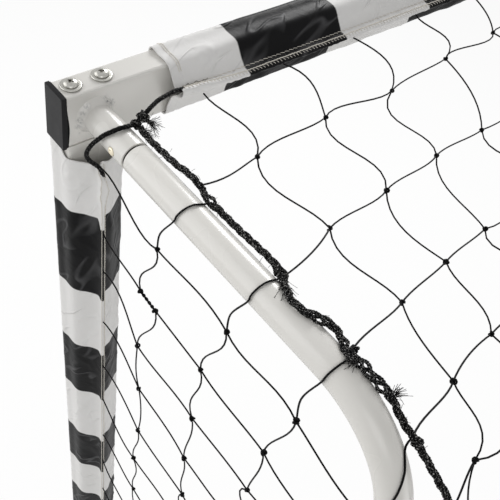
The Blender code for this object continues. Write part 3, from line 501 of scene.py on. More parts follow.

# The round frame: stubs welded to the bars, and the tubes that push over them. Round steel tube with
# the same powder coat, bent cold, so the bends are smooth. A groove shows where each tube meets a stub.
# The reduced ends seen in the grooves are bare steel, coloured darker still to paint the grooves' shade.
TUBE_RADIUS = 13
TUBE_BORE = 11.5
TUBE_SIDES = 64
TUBE_INWARD = 25
TUBE_DOWN = 25
STUB_LENGTH = 59
WELD_GAP = 0.3
# How far the stub's edge is rounded off, along it and in its radius.
EDGE_BREAK = (0.4, 0.35)
GROOVE = 1.9
SHOULDER = 1
SPIGOT = (11.2, 10, 45)
STRAIGHT_RUN = 284
BEND_RADIUS = 88
REAR_BACK = 860.9
CORNER_RADIUS = 88
FOOT_BACK = REAR_BACK - CORNER_RADIUS - 30
LEG_STUB = 75
SNAP_FROM_MOUTH = 14.5
SNAP_HOLE = 4
leg_drop = GOAL_HEIGHT - TUBE_DOWN - BEND_RADIUS - TUBE_RADIUS
leg_run = FOOT_BACK - STRAIGHT_RUN
LEAN = math.acos(BEND_RADIUS / math.hypot(leg_run, leg_drop)) - math.atan2(leg_drop, leg_run)
# The reduced ends are bare steel, coloured near black to paint the shade in the grooves.
bare_spigot_steel = plated_steel("bare_spigot_steel", "#2e2a27", "#1d1a18", 0.6, 3.0)


def tube(stations, across, sides=TUBE_SIDES):
    """A hollow tube along a flat path of (place, outer radius, bore radius), with across square to it."""
    places = np.array([place for place, _, _ in stations])
    ahead = np.vstack([places[1:], places[-1:]]) - np.vstack([places[:1], places[:-1]])
    ahead /= np.linalg.norm(ahead, axis=1)[:, None]
    other = np.cross(ahead, across)
    angles = np.linspace(0, math.tau, sides, endpoint=False)
    around = np.cos(angles)[:, None, None] * np.asarray(across, float)
    around = around + np.sin(angles)[:, None, None] * other[None, :, :]
    outer, inner = (
        [place + station[k] * MM * around[:, i] for i, (place, station) in enumerate(zip(places, stations))]
        for k in (1, 2)
    )
    mesh = skin(outer + inner[::-1], looped=True)
    mesh.materials.append(powder_coated_steel)
    mesh.materials.append(bare_spigot_steel)
    # Faces of the reduced ends take the dark steel that paints the grooves' shade.
    for face in mesh.polygons:
        ring = face.index // sides + 1
        if ring < len(stations):
            face.material_index = int(stations[ring][1] < TUBE_RADIUS - 1)
    return mesh


def depth_bend(steps=40):
    """(back, down) along the depth tube's bend."""
    angles = [(math.pi / 2 - LEAN) * step / steps for step in range(steps + 1)]
    return [
        (STRAIGHT_RUN + BEND_RADIUS * math.sin(a), TUBE_DOWN + BEND_RADIUS * (1 - math.cos(a)))
        for a in angles
    ]


def pointed(mesh, centre, way):
    """Takes a mesh from the origin to a centre, with its +Z turned the given way."""
    turn = Vector(way).to_track_quat("Z", "Y").to_matrix().to_4x4()
    mesh.transform(Matrix.Translation(Vector(centre)) @ turn)
    return mesh


def snap_drill(name, centre, outward):
    """The drill that makes a snap button's hole."""
    return add_piece(name, pointed(turned(((SNAP_HOLE, 5), (SNAP_HOLE, 20)), 28), centre, outward))


def drilled(piece, *drills):
    """The piece with the drills' holes in it. The drills go."""
    for drill in drills:
        cut(piece, drill)
    plain(piece)
    smooth(piece.data, 30)
    for drill in drills:
        bpy.data.objects.remove(drill, do_unlink=True)


def spigot_stations(shoulder, tail_way):
    """The reduced end that goes into a stub, from its tail to the tube's full size."""
    radius, bore, length = SPIGOT
    return [
        (shoulder + tail_way * length * MM, radius, bore),
        (shoulder, radius, bore),
        (shoulder - tail_way * SHOULDER * 0.5 * MM, TUBE_RADIUS - 0.25, TUBE_BORE),
        (shoulder - tail_way * SHOULDER * MM, TUBE_RADIUS, TUBE_BORE),
    ]


forward = np.array([0.0, 1.0, 0.0])
down_leg = np.array([0.0, -math.sin(LEAN), -math.cos(LEAN)])
for side_name, side in SIDES.items():
    sideways = np.array([float(side), 0.0, 0.0])
    root = spot(side, TUBE_INWARD, 0, TUBE_DOWN)
    mouth = root - forward * STUB_LENGTH * MM
    stations = [
        (root - forward * WELD_GAP * MM, TUBE_RADIUS, TUBE_BORE),
        (mouth + forward * EDGE_BREAK[0] * MM, TUBE_RADIUS, TUBE_BORE),
        (mouth, TUBE_RADIUS - EDGE_BREAK[1], TUBE_BORE),
    ]
    stub = add_piece(f"depth_stub_{side_name}", tube(stations, sideways))
    snap = mouth + forward * SNAP_FROM_MOUTH * MM
    drilled(stub, snap_drill("drill", snap, sideways))
    mount(stub, "powder_coat", f"top_stub_{side_name}")

    stations = spigot_stations(mouth - forward * GROOVE * MM, forward)
    stations += [(spot(side, TUBE_INWARD, *place), TUBE_RADIUS, TUBE_BORE) for place in depth_bend()]
    foot = spot(side, TUBE_INWARD, FOOT_BACK, GOAL_HEIGHT - TUBE_RADIUS)
    stations += spigot_stations(foot - down_leg * (LEG_STUB + GROOVE) * MM, down_leg)[::-1]
    depth_tube = add_piece(f"bent_depth_tube_{side_name}", tube(stations, sideways))
    leg_snap = foot - down_leg * (LEG_STUB - SNAP_FROM_MOUTH) * MM
    drills = [snap_drill("drill_top", snap, sideways), snap_drill("drill_leg", leg_snap, -sideways)]
    drilled(depth_tube, *drills)
    mount(depth_tube, "powder_coat", f"depth_tube_{side_name}")
    for node in ("bottom_stub", "leg_stub", "side_ground_tube", "rear_ground_tube"):
        dress(f"{node}_{side_name}", powder_coated_steel)

# The weld beads where the stubs meet the bars: a smooth, slightly uneven fillet of weld metal under the
# paint, with bluish soot strokes that the coating didn't quite hide.
# The bead's section: how far out from the stub's skin, and how far behind the bar.
WELD_SECTION = (
    (4.4, -0.1), (4.0, 0.4), (3.2, 1.2), (2.2, 2.1), (1.2, 3.1), (0.5, 4.3), (0.0, 5.6), (-0.3, 6.0),
)
WELD_SIDES = 120


def wave(x, y, seed):
    """Smooth noise from -1 to 1 for places given in lattice units."""
    return noise.noise(Vector((x, y, 17.3 * seed)))


for side_name, side in SIDES.items():
    for end, level, coat in (
        ("top", TUBE_DOWN, sooty_crossbar_coat),
        ("bottom", GOAL_HEIGHT - TUBE_RADIUS, sooty_post_coat),
    ):
        rings = []
        for out, back in WELD_SECTION:
            ring = []
            for i in range(WELD_SIDES):
                angle = math.tau * i / WELD_SIDES
                swell = 1 + 0.16 * wave(3 * math.cos(angle), 3 * math.sin(angle), side + level)
                radius = TUBE_RADIUS + out * swell
                down = min(level + radius * math.sin(angle), GOAL_HEIGHT - 0.4)
                ring.append(spot(side, TUBE_INWARD - radius * math.cos(angle), back * swell, down))
            rings.append(ring)
        mount(add_piece(f"weld_bead_{end}_{side_name}", skin(rings), coat, 80), "powder_coat")

# The snap buttons: domed pins of pale yellow zinc plate, each on a leaf spring of dark strip steel inside
# its joint, with two small punch marks, coloured dark to paint the shade in them. Each moves in and out of
# its hole. The springs keep their shape.
PUNCH_PROFILE = ((0.6, -1.2), (0.6, -0.12), (0.3, -0.05))
PUNCH_APART = 2.0
YELLOW_ZINC = "#ede6d6"
YELLOW_ZINC_DARK = "#d6ccb2"
SPRING_STEEL = "#6f7275"

yellow_zinc_plate = plated_steel("yellow_zinc_plate", YELLOW_ZINC, YELLOW_ZINC_DARK, 0.55, 1.2)
strip_steel = plated_steel("strip_spring_steel", SPRING_STEEL, "#4c4e50", 0.38, 2.0)
for node, piece in frame["nodes"].items():
    if node.startswith("snap_spring"):
        dress(node, strip_steel)
    elif node.startswith("snap_button"):
        dress(node, yellow_zinc_plate)
# The punch marks are coloured near black, which paints the shade in them.
punched_steel = plated_steel("punched_steel", "#3d362c", "#2b2721", 0.5, 1.0)
for joint in frame["joints"]:
    button = joint["child"]
    low, high = (np.array(corner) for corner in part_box(button))
    outward = -np.array(joint["axis"], float)
    face = (low + high) / 2 + outward * ((high - low) @ np.abs(outward)) / 2
    upright = np.cross(np.cross(outward, (0.0, 0.0, 1.0)), outward)
    marks = bmesh.new()
    for shift in (-PUNCH_APART, PUNCH_APART):
        mark = turned(PUNCH_PROFILE, 10)
        pointed(mark, face + upright * shift * MM, outward)
        marks.from_mesh(mark)
        bpy.data.meshes.remove(mark)
    mesh = bpy.data.meshes.new("punch_marks")
    marks.to_mesh(mesh)
    marks.free()
    mount(add_piece(f"{button}_punch_marks", mesh, punched_steel), "yellow_zinc_plate", body=button)

# The sleeves: coated polyester in black and white stripes, sewn into a tube round each bar. The cloth
# is loose, so it bows out to a hem behind the bar, which holds the border rope and two rows of stitches.
CLOTH = 0.8
SLEEVE_STEP = 4
CROSSBAR_SLEEVE_FROM_END = 94
CROSSBAR_STRIPE = 120.5
CROSSBAR_FIRST_BOUNDARY = 167.5
POST_SLEEVE_TOP = 62
POST_SLEEVE_BOTTOM = 1555
POST_BOUNDARIES = (124, 235, 332, 426, 528, 614, 702)
POST_STRIPE = 97
# The cloth's section, as (back, along the rear face): from the front round to the hem and back.
CROSSBAR_SECTION = (
    (-26, -1.3), (-13, -2.0), (-1.5, -1.7), (3.5, 1.5), (8, 8), (12.5, 14.0), (15.5, 16.9), (20.5, 17.4),
    (24.0, 18.3), (25.0, 19.4), (24.2, 20.8), (20.5, 22.4), (15.0, 22.4), (9.5, 27), (4.5, 40),
    (1.9, 50.6), (-12, 51.8), (-26, 51.3), (-26.8, 25),
)
POST_SECTION = (
    (-26, -1.3), (-13, -1.9), (-1.2, -1.4), (5.2, 3.0), (9.8, 8.0), (14.6, 12.1), (18.5, 14.3),
    (21.8, 15.4), (24.6, 15.6), (26.0, 16.8), (25.2, 18.6), (22.6, 20.4), (20, 22.2), (16.9, 30.2),
    (11.1, 38.6), (6, 45.3), (1.5, 51.2), (-12, 51.8), (-26, 51.3), (-26.6, 25),
)
HEM_DEEP = 9
POINTS_ROUND_BAR = 46
POINTS_AT_HEM = 38
SLEEVE_WHITE = "#e4e3e2"
SLEEVE_BLACK = "#101011"
# Lighter black on the creases' crests: partly rubbed wear, partly a painted sheen.
RUBBED_BLACK_AND_SHEEN = "#7c7c7e"
SLEEVE_GREYER = "#dbdad8"
WHITE_DRIFT = 60
WEAVE = 0.9
CRUMPLE = 16
# Creases, in patches on the slack cloth: their slant in degrees, and how far from the hem it is taut.
CREASE_APART = 24
CREASE_LONG = 78
CREASE_SLANT = 62
CREASED_PATCH = 34
SLACK_TO_TAUT = (60, 92)
END_HEM = 9
END_HEM_THICK = 0.45


def smooth_through(points, steps, closed=False):
    """Points on a smooth curve through the given ones."""
    points = np.asarray(points, float)
    if closed:
        held = np.vstack([points[-1:], points, points[:2]])
    else:
        held = np.vstack([2 * points[:1] - points[1:2], points, 2 * points[-1:] - points[-2:-1]])
    found = []
    for a, b, c, d in zip(held, held[1:], held[2:], held[3:]):
        for t in np.arange(steps) / steps:
            bend = (2 * a - 5 * b + 4 * c - d) * t**2 + (3 * b - a - 3 * c + d) * t**3
            found.append((2 * b + (c - a) * t + bend) / 2)
    if not closed:
        found.append(points[-1])
    return np.array(found)


def run_along(points):
    """How far along the line each of its points lies."""
    return np.concatenate([[0], np.cumsum(np.linalg.norm(np.diff(points, axis=0), axis=1))])


def evenly(points, count=None, step=None, closed=False):
    """The line taken at even distances, either a count of points or a step apart."""
    points = np.asarray(points, float)
    line = np.vstack([points, points[:1]]) if closed else points
    run = run_along(line)
    if count is None:
        count = max(2, int(round(run[-1] / step)) + 1)
    at = np.linspace(0, run[-1], count, endpoint=not closed)
    return np.stack([np.interp(at, run, line[:, k]) for k in range(line.shape[1])], 1)


def ease(value, low, high):
    """0 below low, 1 above high, and smooth between them."""
    t = min(1.0, max(0.0, (value - low) / (high - low)))
    return t * t * (3 - 2 * t)


def crest(x, y, seed):
    """Narrow ridges from 0 to 1 that wander like the folds of stiff cloth."""
    return ease(1 - 4.2 * abs(wave(x, y, seed)), 0, 1)


def cloth_section(corners):
    """The section's points, closer together at the hem, with each one's way out and run to the hem."""
    line = smooth_through(corners, 12, closed=True)
    behind = np.flatnonzero(line[:, 0] > HEM_DEEP)
    hem = evenly(line[behind[0] : behind[-1] + 1], count=POINTS_AT_HEM)
    rest = np.vstack([line[behind[-1] :], line[: behind[0] + 1]])
    points = np.vstack([hem, evenly(rest, count=POINTS_ROUND_BAR + 2)[1:-1]])
    ahead = np.roll(points, -1, 0) - np.roll(points, 1, 0)
    ahead /= np.linalg.norm(ahead, axis=1)[:, None]
    outward = np.stack([ahead[:, 1], -ahead[:, 0]], 1)
    if np.sum((points - points.mean(0)) * outward) < 0:
        outward = -outward
    steps = np.linalg.norm(np.diff(points, axis=0, append=points[:1]), axis=1)
    run = np.concatenate([[0], np.cumsum(steps)[:-1]])
    to_hem = run - run[int(np.argmax(points[:, 0]))]
    to_hem = (to_hem + steps.sum() / 2) % steps.sum() - steps.sum() / 2
    return points, outward, to_hem


def folds(along, to_hem, back, pucker, seed):
    """How far the cloth stands out, in mm: puckers at the hem's stitches, and folds where it hangs free."""
    near = math.exp(-((to_hem / 9) ** 2))
    free = 0.3 + 0.7 * ease(back, -3, 6)
    loose = 0.55 + 0.45 * wave(along / 130, 0.0, seed)
    gather = crest(along / 5.5 + to_hem / 12, to_hem / 30, seed + 1)
    warp = 0.5 * wave(along / 60, to_hem / 40, seed + 2)
    broad = crest(along / 42 + to_hem / 75 + warp, to_hem / 38, seed + 3)
    fine = crest(along / 24 - to_hem / 50, to_hem / 30 + warp, seed + 4)
    return pucker * near * gather + (1 - near) * free * loose * (1.7 * broad + 0.8 * fine)


def sleeve(name, node, corners, stations, put, shaped, stripes, pucker, seed):
    """A cloth tube that stands for a node and lies on bars. Gives its rings of points and their ways
    out. put(back, along, length) places a point, and shaped(back, along, length, to_hem) moves it, with
    how far along its stripe lies."""
    points, outward, to_hem = cloth_section(corners)
    rings, ways, flat = [], [], []
    for length in stations:
        from_end = min(length - stations[0], stations[-1] - length)
        held = ease(from_end, 0, 14)
        for (back, along), way, run in zip(points, outward, to_hem):
            lift = held * folds(length, run, back, pucker, seed)
            if from_end < END_HEM:
                lift += END_HEM_THICK
            back, along = np.array([back, along]) + way * lift
            at, shift = shaped(back, along, length, run)
            rings.append(put(*at))
            ways.append(put(at[0] + way[0], at[1] + way[1], at[2]) - put(*at))
            flat.append((stripes(length - shift), run * MM))
    rings = np.array(rings).reshape(len(stations), len(points), 3)
    ways = np.array(ways).reshape(rings.shape)
    piece = add_piece(name, skin(rings), coated_polyester, 70)
    cloth_map = piece.data.uv_layers.new(name="cloth")
    for loop in piece.data.loops:
        cloth_map.data[loop.index].uv = flat[loop.vertex_index]
    wall = piece.modifiers.new("cloth", "SOLIDIFY")
    wall.thickness = CLOTH * MM
    wall.offset = -1
    mount(plain(piece), "sleeve_fabric", node)
    return rings, ways, points


def striped_cloth(name):
    """Coated polyester, satin where it is black, striped along the cloth, creased and finely woven."""
    material, tree, place = new_material(name)
    cloth = add_node(tree, "ShaderNodeUVMap", uv_map="cloth").outputs["UV"]
    laid_flat = add_node(tree, "ShaderNodeSeparateXYZ", {0: cloth}).outputs
    along = math_of(tree, "SUBTRACT", laid_flat["X"], 0.5)
    black = ranged(tree, math_of(tree, "PINGPONG", along, 1.0), 0.0, 1.0, 0.495, 0.505)
    white = mixed(tree, grain(tree, place, WHITE_DRIFT, 3.0), SLEEVE_WHITE, SLEEVE_GREYER)
    in_metres = {0: cloth, 1: (CROSSBAR_STRIPE * MM, 1.0, 0.0)}
    laid_out = add_node(tree, "ShaderNodeVectorMath", in_metres, operation="MULTIPLY").outputs[0]
    drawn_out = {
        "Vector": laid_out,
        "Rotation": (0.0, 0.0, math.radians(CREASE_SLANT)),
        "Scale": (CREASE_APART * MM, CREASE_LONG * MM, 1.0),
    }
    drawn_out = add_node(tree, "ShaderNodeMapping", drawn_out, vector_type="TEXTURE").outputs["Vector"]
    drift = grain(tree, drawn_out, 1 / MM, 1.0, 0.2)
    away = math_of(tree, "ABSOLUTE", math_of(tree, "SUBTRACT", drift, 0.5))
    creases = ranged(tree, away, 1.0, 0.0, 0.0, 0.05, "SMOOTHSTEP")
    where = ranged(tree, grain(tree, laid_out, CREASED_PATCH, 0.0), 0.0, 1.0, 0.4, 0.7)
    to_front = math_of(tree, "ABSOLUTE", laid_flat["Y"])
    slack = ranged(tree, to_front, 1.0, 0.0, *(edge * MM for edge in SLACK_TO_TAUT))
    creases = math_of(tree, "MULTIPLY", math_of(tree, "MULTIPLY", creases, where), slack)
    # The creases' crests are coloured lighter on black: partly rubbed wear, partly a painted sheen.
    worn_and_sheen = mixed(tree, math_of(tree, "MULTIPLY", creases, 0.25), SLEEVE_BLACK, RUBBED_BLACK_AND_SHEEN)
    crumple = grain(tree, place, CRUMPLE, 4.0, 0.6)
    weave = math_of(tree, "MULTIPLY_ADD", crumple, 9.0, grain(tree, place, WEAVE))
    return shaded(
        material,
        Base_Color=mixed(tree, black, white, worn_and_sheen),
        Roughness=ranged(tree, black, 0.5, 0.4),
        Normal=bumped(tree, creases, 0.6, 1.6, over=bumped(tree, weave, 0.5, 0.12)),
        Specular_IOR_Level=0.06,
    )


coated_polyester = striped_cloth("coated_polyester_stripes")


def crossbar_stripes(x):
    """Stripes counted from the left end: whole numbers are the seams between black and white."""
    return (x + HALF_WIDTH - CROSSBAR_FIRST_BOUNDARY) / CROSSBAR_STRIPE + 1


def post_stripes(down):
    bounds = (POST_BOUNDARIES[0] - CROSSBAR_STRIPE, *POST_BOUNDARIES)
    if down > bounds[-1]:
        return len(bounds) - 1 + (down - bounds[-1]) / POST_STRIPE
    return float(np.interp(down, bounds, range(len(bounds))))


def shape_crossbar_hem(back, down, x, to_hem):
    """The hem rises towards the sleeve's ends, most on top. Under it the first seam is out of line."""
    share = ease(14 - abs(to_hem), 0, 12)
    from_end = HALF_WIDTH - CROSSBAR_SLEEVE_FROM_END - abs(x)
    rise = 8 * (1 - ease(from_end, 0, 76)) * share * (1 - 0.6 * ease(down, 18.5, 22))
    seam = -9 * ease(down, 24, 34) * (1 - ease(x + HALF_WIDTH, 200, 270))
    return (back, down - rise, x), seam


def shape_post_hem(back, inward, down, to_hem):
    """The hem starts below the sleeve's top with a ruffle, and its white runs on over the black. On the
    outer side the sleeve reaches higher."""
    share, tip = ease(14 - abs(to_hem), 0, 12), ease(6.5 - abs(to_hem), 0, 4)
    below = down - POST_SLEEVE_TOP
    drawn_in = (1 - ease(below, 3, 14)) * share
    ruffle = math.exp(-(((below - 27) / 12) ** 2)) * tip
    inward += ruffle * (0.8 + math.copysign(2.6, inward - 17) + 1.6 * wave(down / 7, 0, 5))
    back += ruffle * (1.4 + 1.2 * wave(down / 6, 3, 6)) - 6.5 * drawn_in
    higher = 9 * ease(-back, 2, 14) * (1 - ease(below, 0, 30)) * (inward < 20)
    return (back, inward, down - higher), tip * (12 - 7 * ease(down, 130, 200))


def sleeve_stations(start, end):
    """Places along the bar, closer together at the sewn ends."""
    ends = np.array([0, 1.5, 4, 7, 8.6, 9.4, 11, 13.5])
    middle = np.linspace(start + 17, end - 17, int((end - start - 34) / SLEEVE_STEP) + 1)
    return np.concatenate([start + ends, middle, (end - ends)[::-1]])


reach = HALF_WIDTH - CROSSBAR_SLEEVE_FROM_END
crossbar_stations = sleeve_stations(-reach, reach)
crossbar_surface = sleeve(
    "crossbar_striped_sleeve", "crossbar_sleeve",
    CROSSBAR_SECTION, crossbar_stations,
    lambda back, down, x: np.array([x, BAR_BACK - back, GOAL_HEIGHT - down]) * MM,
    shape_crossbar_hem, crossbar_stripes, pucker=0.7, seed=3,
)
post_stations = sleeve_stations(POST_SLEEVE_TOP, POST_SLEEVE_BOTTOM)
post_surfaces = {}
for seed, (side_name, side) in enumerate(SIDES.items(), 11):
    post_surfaces[side_name] = sleeve(
        f"post_striped_sleeve_{side_name}", f"post_sleeve_{side_name}",
        POST_SECTION, post_stations,
        lambda back, inward, down, side=side: spot(side, inward, back, down),
        shape_post_hem, post_stripes, pucker=0.25, seed=seed,
    )

# The stitches: light polyester thread, in a slanting row and a close cord-like row through each hem, with
# short overcast stitches at its edge, and a double row round the crossbar sleeve's ends. A loose end hangs
# on.
THREAD = 0.3
THREAD_COLOUR = "#ebe7de"
LOOSE_THREAD = "#3a3838"
THREAD_SHADE = "#b5afa4"
THREAD_PLY = 0.6
# Rows on the crossbar's hem: (back, down), pitch, length, slant round the hem, and thread radius.
CROSSBAR_STITCH_ROWS = (
    ((15.4, 16.6), 5.2, 4.4, 1.2, 0.34), ((20.6, 17.3), 3.5, 3.3, 0.2, 0.55),
    ((22.8, 17.8), 4.0, 1.2, 2.0, 0.3), ((15.2, 22.4), 5.2, 4.4, 1.2, 0.34),
    ((20.6, 22.3), 3.5, 3.3, 0.2, 0.5),
)
POST_STITCH_ROWS = (
    ((25.3, 16.0), 3.6, 3.5, 0.1, 0.32), ((25.4, 18.2), 3.6, 3.5, 0.1, 0.32),
    ((20, 22.2), 3.6, 3.5, 0.1, 0.3),
)
CROSSBAR_END_ROWS = (8.0, 10.4)
LOOSE_THREAD_AT = (14.5, 15.9)
LOOSE_THREAD_RUN = (4, 34)


def thread_finish(name, colour):
    """Spun polyester, dull, with plies that show as a fine change of tone."""
    material, tree, place = new_material(name)
    shade = mixed(tree, grain(tree, place, THREAD_PLY), colour, THREAD_SHADE)
    return shaded(material, Base_Color=shade, Roughness=0.6)


def round_bodies(tree, given):
    """A round body with closed ends along each line."""
    line = add_node(tree, "GeometryNodeMeshToCurve", {0: given["Lines"]}).outputs[0]
    section = {"Resolution": given["Sides"], "Radius": given["Radius"]}
    section = add_node(tree, "GeometryNodeCurvePrimitiveCircle", section).outputs[0]
    inputs = {"Curve": line, "Profile Curve": section, "Fill Caps": True}
    return add_node(tree, "GeometryNodeCurveToMesh", inputs).outputs[0]


sewing_thread = thread_finish("sewing_thread", THREAD_COLOUR)
loose_thread = thread_finish("loose_thread", LOOSE_THREAD)
cord_bodies = finished_tree("cord_bodies", round_bodies, Lines="Geometry", Radius="Float", Sides="Int")


def cords(name, lines, radius, sides, material, rounded_off=True):
    """One piece with a round body, its radius in mm, along each line."""
    points, edges = [], []
    for line in lines:
        first = len(points)
        points += [tuple(p) for p in line]
        edges += [(first + i, first + i + 1) for i in range(len(line) - 1)]
    mesh = bpy.data.meshes.new(name)
    mesh.from_pydata(points, edges, [])
    inputs = {"Radius": radius * MM, "Sides": sides, "Finish": material}
    piece = work_nodes(in_scene(name, mesh), cord_bodies, **inputs)
    if rounded_off:
        piece.data.shade_smooth()
    return piece


def on_cloth(surface, along, around, lift):
    """A place on a sleeve: along it in rings, round it in points, and lifted off it in mm."""
    rings, ways, _ = surface
    i, j = min(int(along), len(rings) - 2), int(around)
    found = []
    for grid in (rings, ways):
        near, far = (ring[j] * (1 - around + j) + ring[j + 1] * (around - j) for ring in grid[i : i + 2])
        found.append(near + (far - near) * (along - i))
    return found[0] + found[1] * lift


def ring_at(stations, length):
    """Which ring of a sleeve lies at a length along it, as a number that may fall between two."""
    return np.interp(length, stations, np.arange(len(stations)))


def nearest_point(points, at):
    """The number of the section's point that is nearest to a place."""
    return int(np.argmin(np.linalg.norm(points - at, axis=1)))


def sew(surface, stations, at, pitch, length, slant):
    """The short lines of a row of stitches, each of which dips into the cloth at its ends."""
    points = surface[2]
    around = nearest_point(points, at)
    step = np.linalg.norm(points[around + 1] - points[around])
    return [
        [
            on_cloth(surface, ring_at(stations, start + t * length), around + (t - 0.5) * slant / step, lift)
            for t, lift in ((0, -0.2), (0.25, 0.3), (0.75, 0.3), (1, -0.2))
        ]
        for start in np.arange(stations[0] + 2.5, stations[-1] - 2.5 - length, pitch)
    ]


def sew_sleeve(name, surface, stations, rows, end_rows=()):
    """The rows of stitches through a sleeve's hem, and round its ends."""
    for number, (at, pitch, length, slant, radius) in enumerate(rows):
        lines = sew(surface, stations, at, pitch, length, slant)
        mount(cords(f"{name}_row_{number}", lines, radius, 5, sewing_thread, False), "sleeve_fabric")
    places = [a for a in np.arange(0, len(surface[2]) - 1, 0.5) if surface[2][int(a), 1] < 6]
    rings = []
    for length in (end for row in end_rows for end in (stations[0] + row, stations[-1] - row)):
        rings.append([on_cloth(surface, ring_at(stations, length), a, 0.25) for a in places])
    if rings:
        mount(cords(f"{name}_end_rows", rings, THREAD, 5, sewing_thread, False), "sleeve_fabric")


sew_sleeve(
    "crossbar_hem_stitches", crossbar_surface, crossbar_stations, CROSSBAR_STITCH_ROWS, CROSSBAR_END_ROWS
)
for side_name, surface in post_surfaces.items():
    sew_sleeve(f"post_hem_stitches_{side_name}", surface, post_stations, POST_STITCH_ROWS)
scribble = []
row_at = nearest_point(crossbar_surface[2], LOOSE_THREAD_AT)
for x in np.arange(*LOOSE_THREAD_RUN, 0.7) - reach:
    along = ring_at(crossbar_stations, x + 2.5 * wave(x / 2, 0, 31))
    scribble.append(on_cloth(crossbar_surface, along, row_at + 4 * wave(x / 2.3, 5, 32), 0.5))
line = smooth_through(scribble, 4)
mount(cords("crossbar_hem_loose_thread", [line], 0.36, 5, loose_thread, False), "sleeve_fabric")

# The ropes: black polyester braid with pale flecks, partly white fibres and partly painted highlights. The
# border rope runs in the hems, and at each top corner it shows where it loops over the stub. The side rope
# is tied on there, three slack strands that follow the depth tube and the net's rear seam down to the ground
# frame.
BORDER_ROPE = 1.9
SIDE_STRAND = 1.45
STRAND_SPREAD = 1.55
STRAND_PITCH = 34
BRAID_PITCH = 13
# Pale flecks on the rope: partly white fibres, partly painted highlights.
ROPE_BLACK = "#0c0c0d"
ROPE_FLECK_AND_HIGHLIGHT = "#b4b3b0"
# The loop from the post's hem to the crossbar's, as (inward, back, down).
LOOP_ROUTE = (
    (19, 23, 79), (18.6, 22.4, 72), (17.2, 20.8, 65), (14, 19, 60.5), (9.5, 18.5, 55), (5.5, 20, 48),
    (3.2, 22.5, 41), (3.4, 24.5, 35), (5.6, 26.5, 29), (9.2, 30, 22.5), (12.4, 34.5, 15.8),
    (17, 38, 11.6), (24, 40, 9.3), (33, 39, 11.5), (39, 36.5, 13.6), (46.6, 36, 9.6), (52.5, 34.5, 7),
    (61, 31, 6), (68, 28, 6.6), (77, 25, 8), (88, 22, 9.5), (99, 21, 12),
)
# On from the loop, inside the crossbar's hem.
HEM_ROUTE = ((108, 20.5, 12.5), (125, 20.5, 14.7), (145, 20.5, 17.8), (170, 20.5, 19.8))
SIDE_ROUTE = (
    (40, 42, 13.5), (39.4, 50, 14.6), (39.3, 61, 14.8), (39.6, 75, 14.5), (40.3, 89, 14.6),
    (42, 105, 13.5), (41.2, 119, 12.8), (39.2, 132, 14.2), (39.3, 148, 14.6), (39.6, 171, 14.2),
    (40.4, 190, 13.8), (41.2, 205, 14.4), (38.6, 218, 14), (31, 229, 9.6), (26.4, 240, 8.3),
    (27.4, 252, 8.6), (34, 261, 12), (39.4, 271, 14.2), (36, 282, 12.8), (30.4, 294, 9.7),
    (33.4, 303, 12.6), (35.8, 314, 17), (39.6, 323, 23.4), (40.4, 331, 27), (39.8, 338, 31.6),
    (40.4, 347, 37), (41.6, 355, 41.5), (44, 372, 54.4), (46.7, 391, 69),
)
SEAM_FOOT_INWARD = 70
REAR_TOP = GOAL_HEIGHT - 2 * TUBE_RADIUS
# Where the strands stand apart: how far back, and how much wider than they lie elsewhere.
STRAND_OPENINGS = ((137, 1.5), (216, 1.6), (262, 1.5), (289, 1.3), (304, 1.8), (319, 1.8))
OPENING_LENGTH = 5.5


def frames(points):
    """The direction of a path and two sides square to it, the first kept as level as it can be."""
    ahead = np.vstack([points[1:], 2 * points[-1:] - points[-2:-1]]) - points
    ahead /= np.linalg.norm(ahead, axis=1)[:, None]
    level = np.cross(ahead, [0.1, 0.25, 1.0])
    level /= np.linalg.norm(level, axis=1)[:, None]
    return ahead, level, np.cross(ahead, level)


def wound(points, radius, turns, starts):
    """Lines that wind round a path, at a radius in mm and turned by an angle, each from its start."""
    _, level, other = frames(points)
    lines = []
    for start in starts:
        angle = (turns + start)[:, None]
        lines.append(points + (radius * MM)[:, None] * (np.cos(angle) * level + np.sin(angle) * other))
    return lines


def braid(points, radius, yarns=8, pitch=BRAID_PITCH):
    """The yarns' lines of a round braid: half wind each way, and pass over and under."""
    turns = math.tau * run_along(points) / MM / pitch
    lines = []
    for k in range(yarns):
        way = 1 if k % 2 else -1
        weave = 0.66 + 0.12 * np.cos(yarns / 2 * turns + (math.pi if k % 2 else 0))
        lines += wound(points, radius * weave, way * turns, [math.tau * (k // 2) / (yarns / 2)])
    return lines


def flecked_yarn(name, colour, fleck_and_highlight, size, amount, roughness):
    """Black yarn with short pale flecks, partly pale fibres, partly painted highlights; more or fewer by the
    amount.
    """
    material, tree, place = new_material(name)
    spots = grain(tree, place, size)
    # Where the flecks fall: pale fibres and painted highlights together.
    fleck_and_highlight_share = ranged(tree, spots, 0.0, 1.0, 0.66 - amount, 0.8 - amount)
    return shaded(
        material,
        Base_Color=mixed(tree, fleck_and_highlight_share, colour, fleck_and_highlight),
        Roughness=roughness,
        Normal=bumped(tree, spots, 0.5, 0.2),
        Specular_IOR_Level=0.05,
    )


def fray(centre, way, length, count, spread, random):
    """Loose filaments that fan out from a cut end."""
    lines = []
    for _ in range(count):
        aim = np.asarray(way, float) + random.normal(0, spread, 3)
        aim /= np.linalg.norm(aim)
        curl = random.normal(0, 0.3, 3) + [0, 0, -0.2]
        reach = length * MM * random.uniform(0.4, 1.0)
        t = np.linspace(0, 1, 7)[:, None]
        start = centre + random.normal(0, 0.8, 3) * MM
        lines.append(start + aim * reach * t + curl * reach * t**2)
    return lines


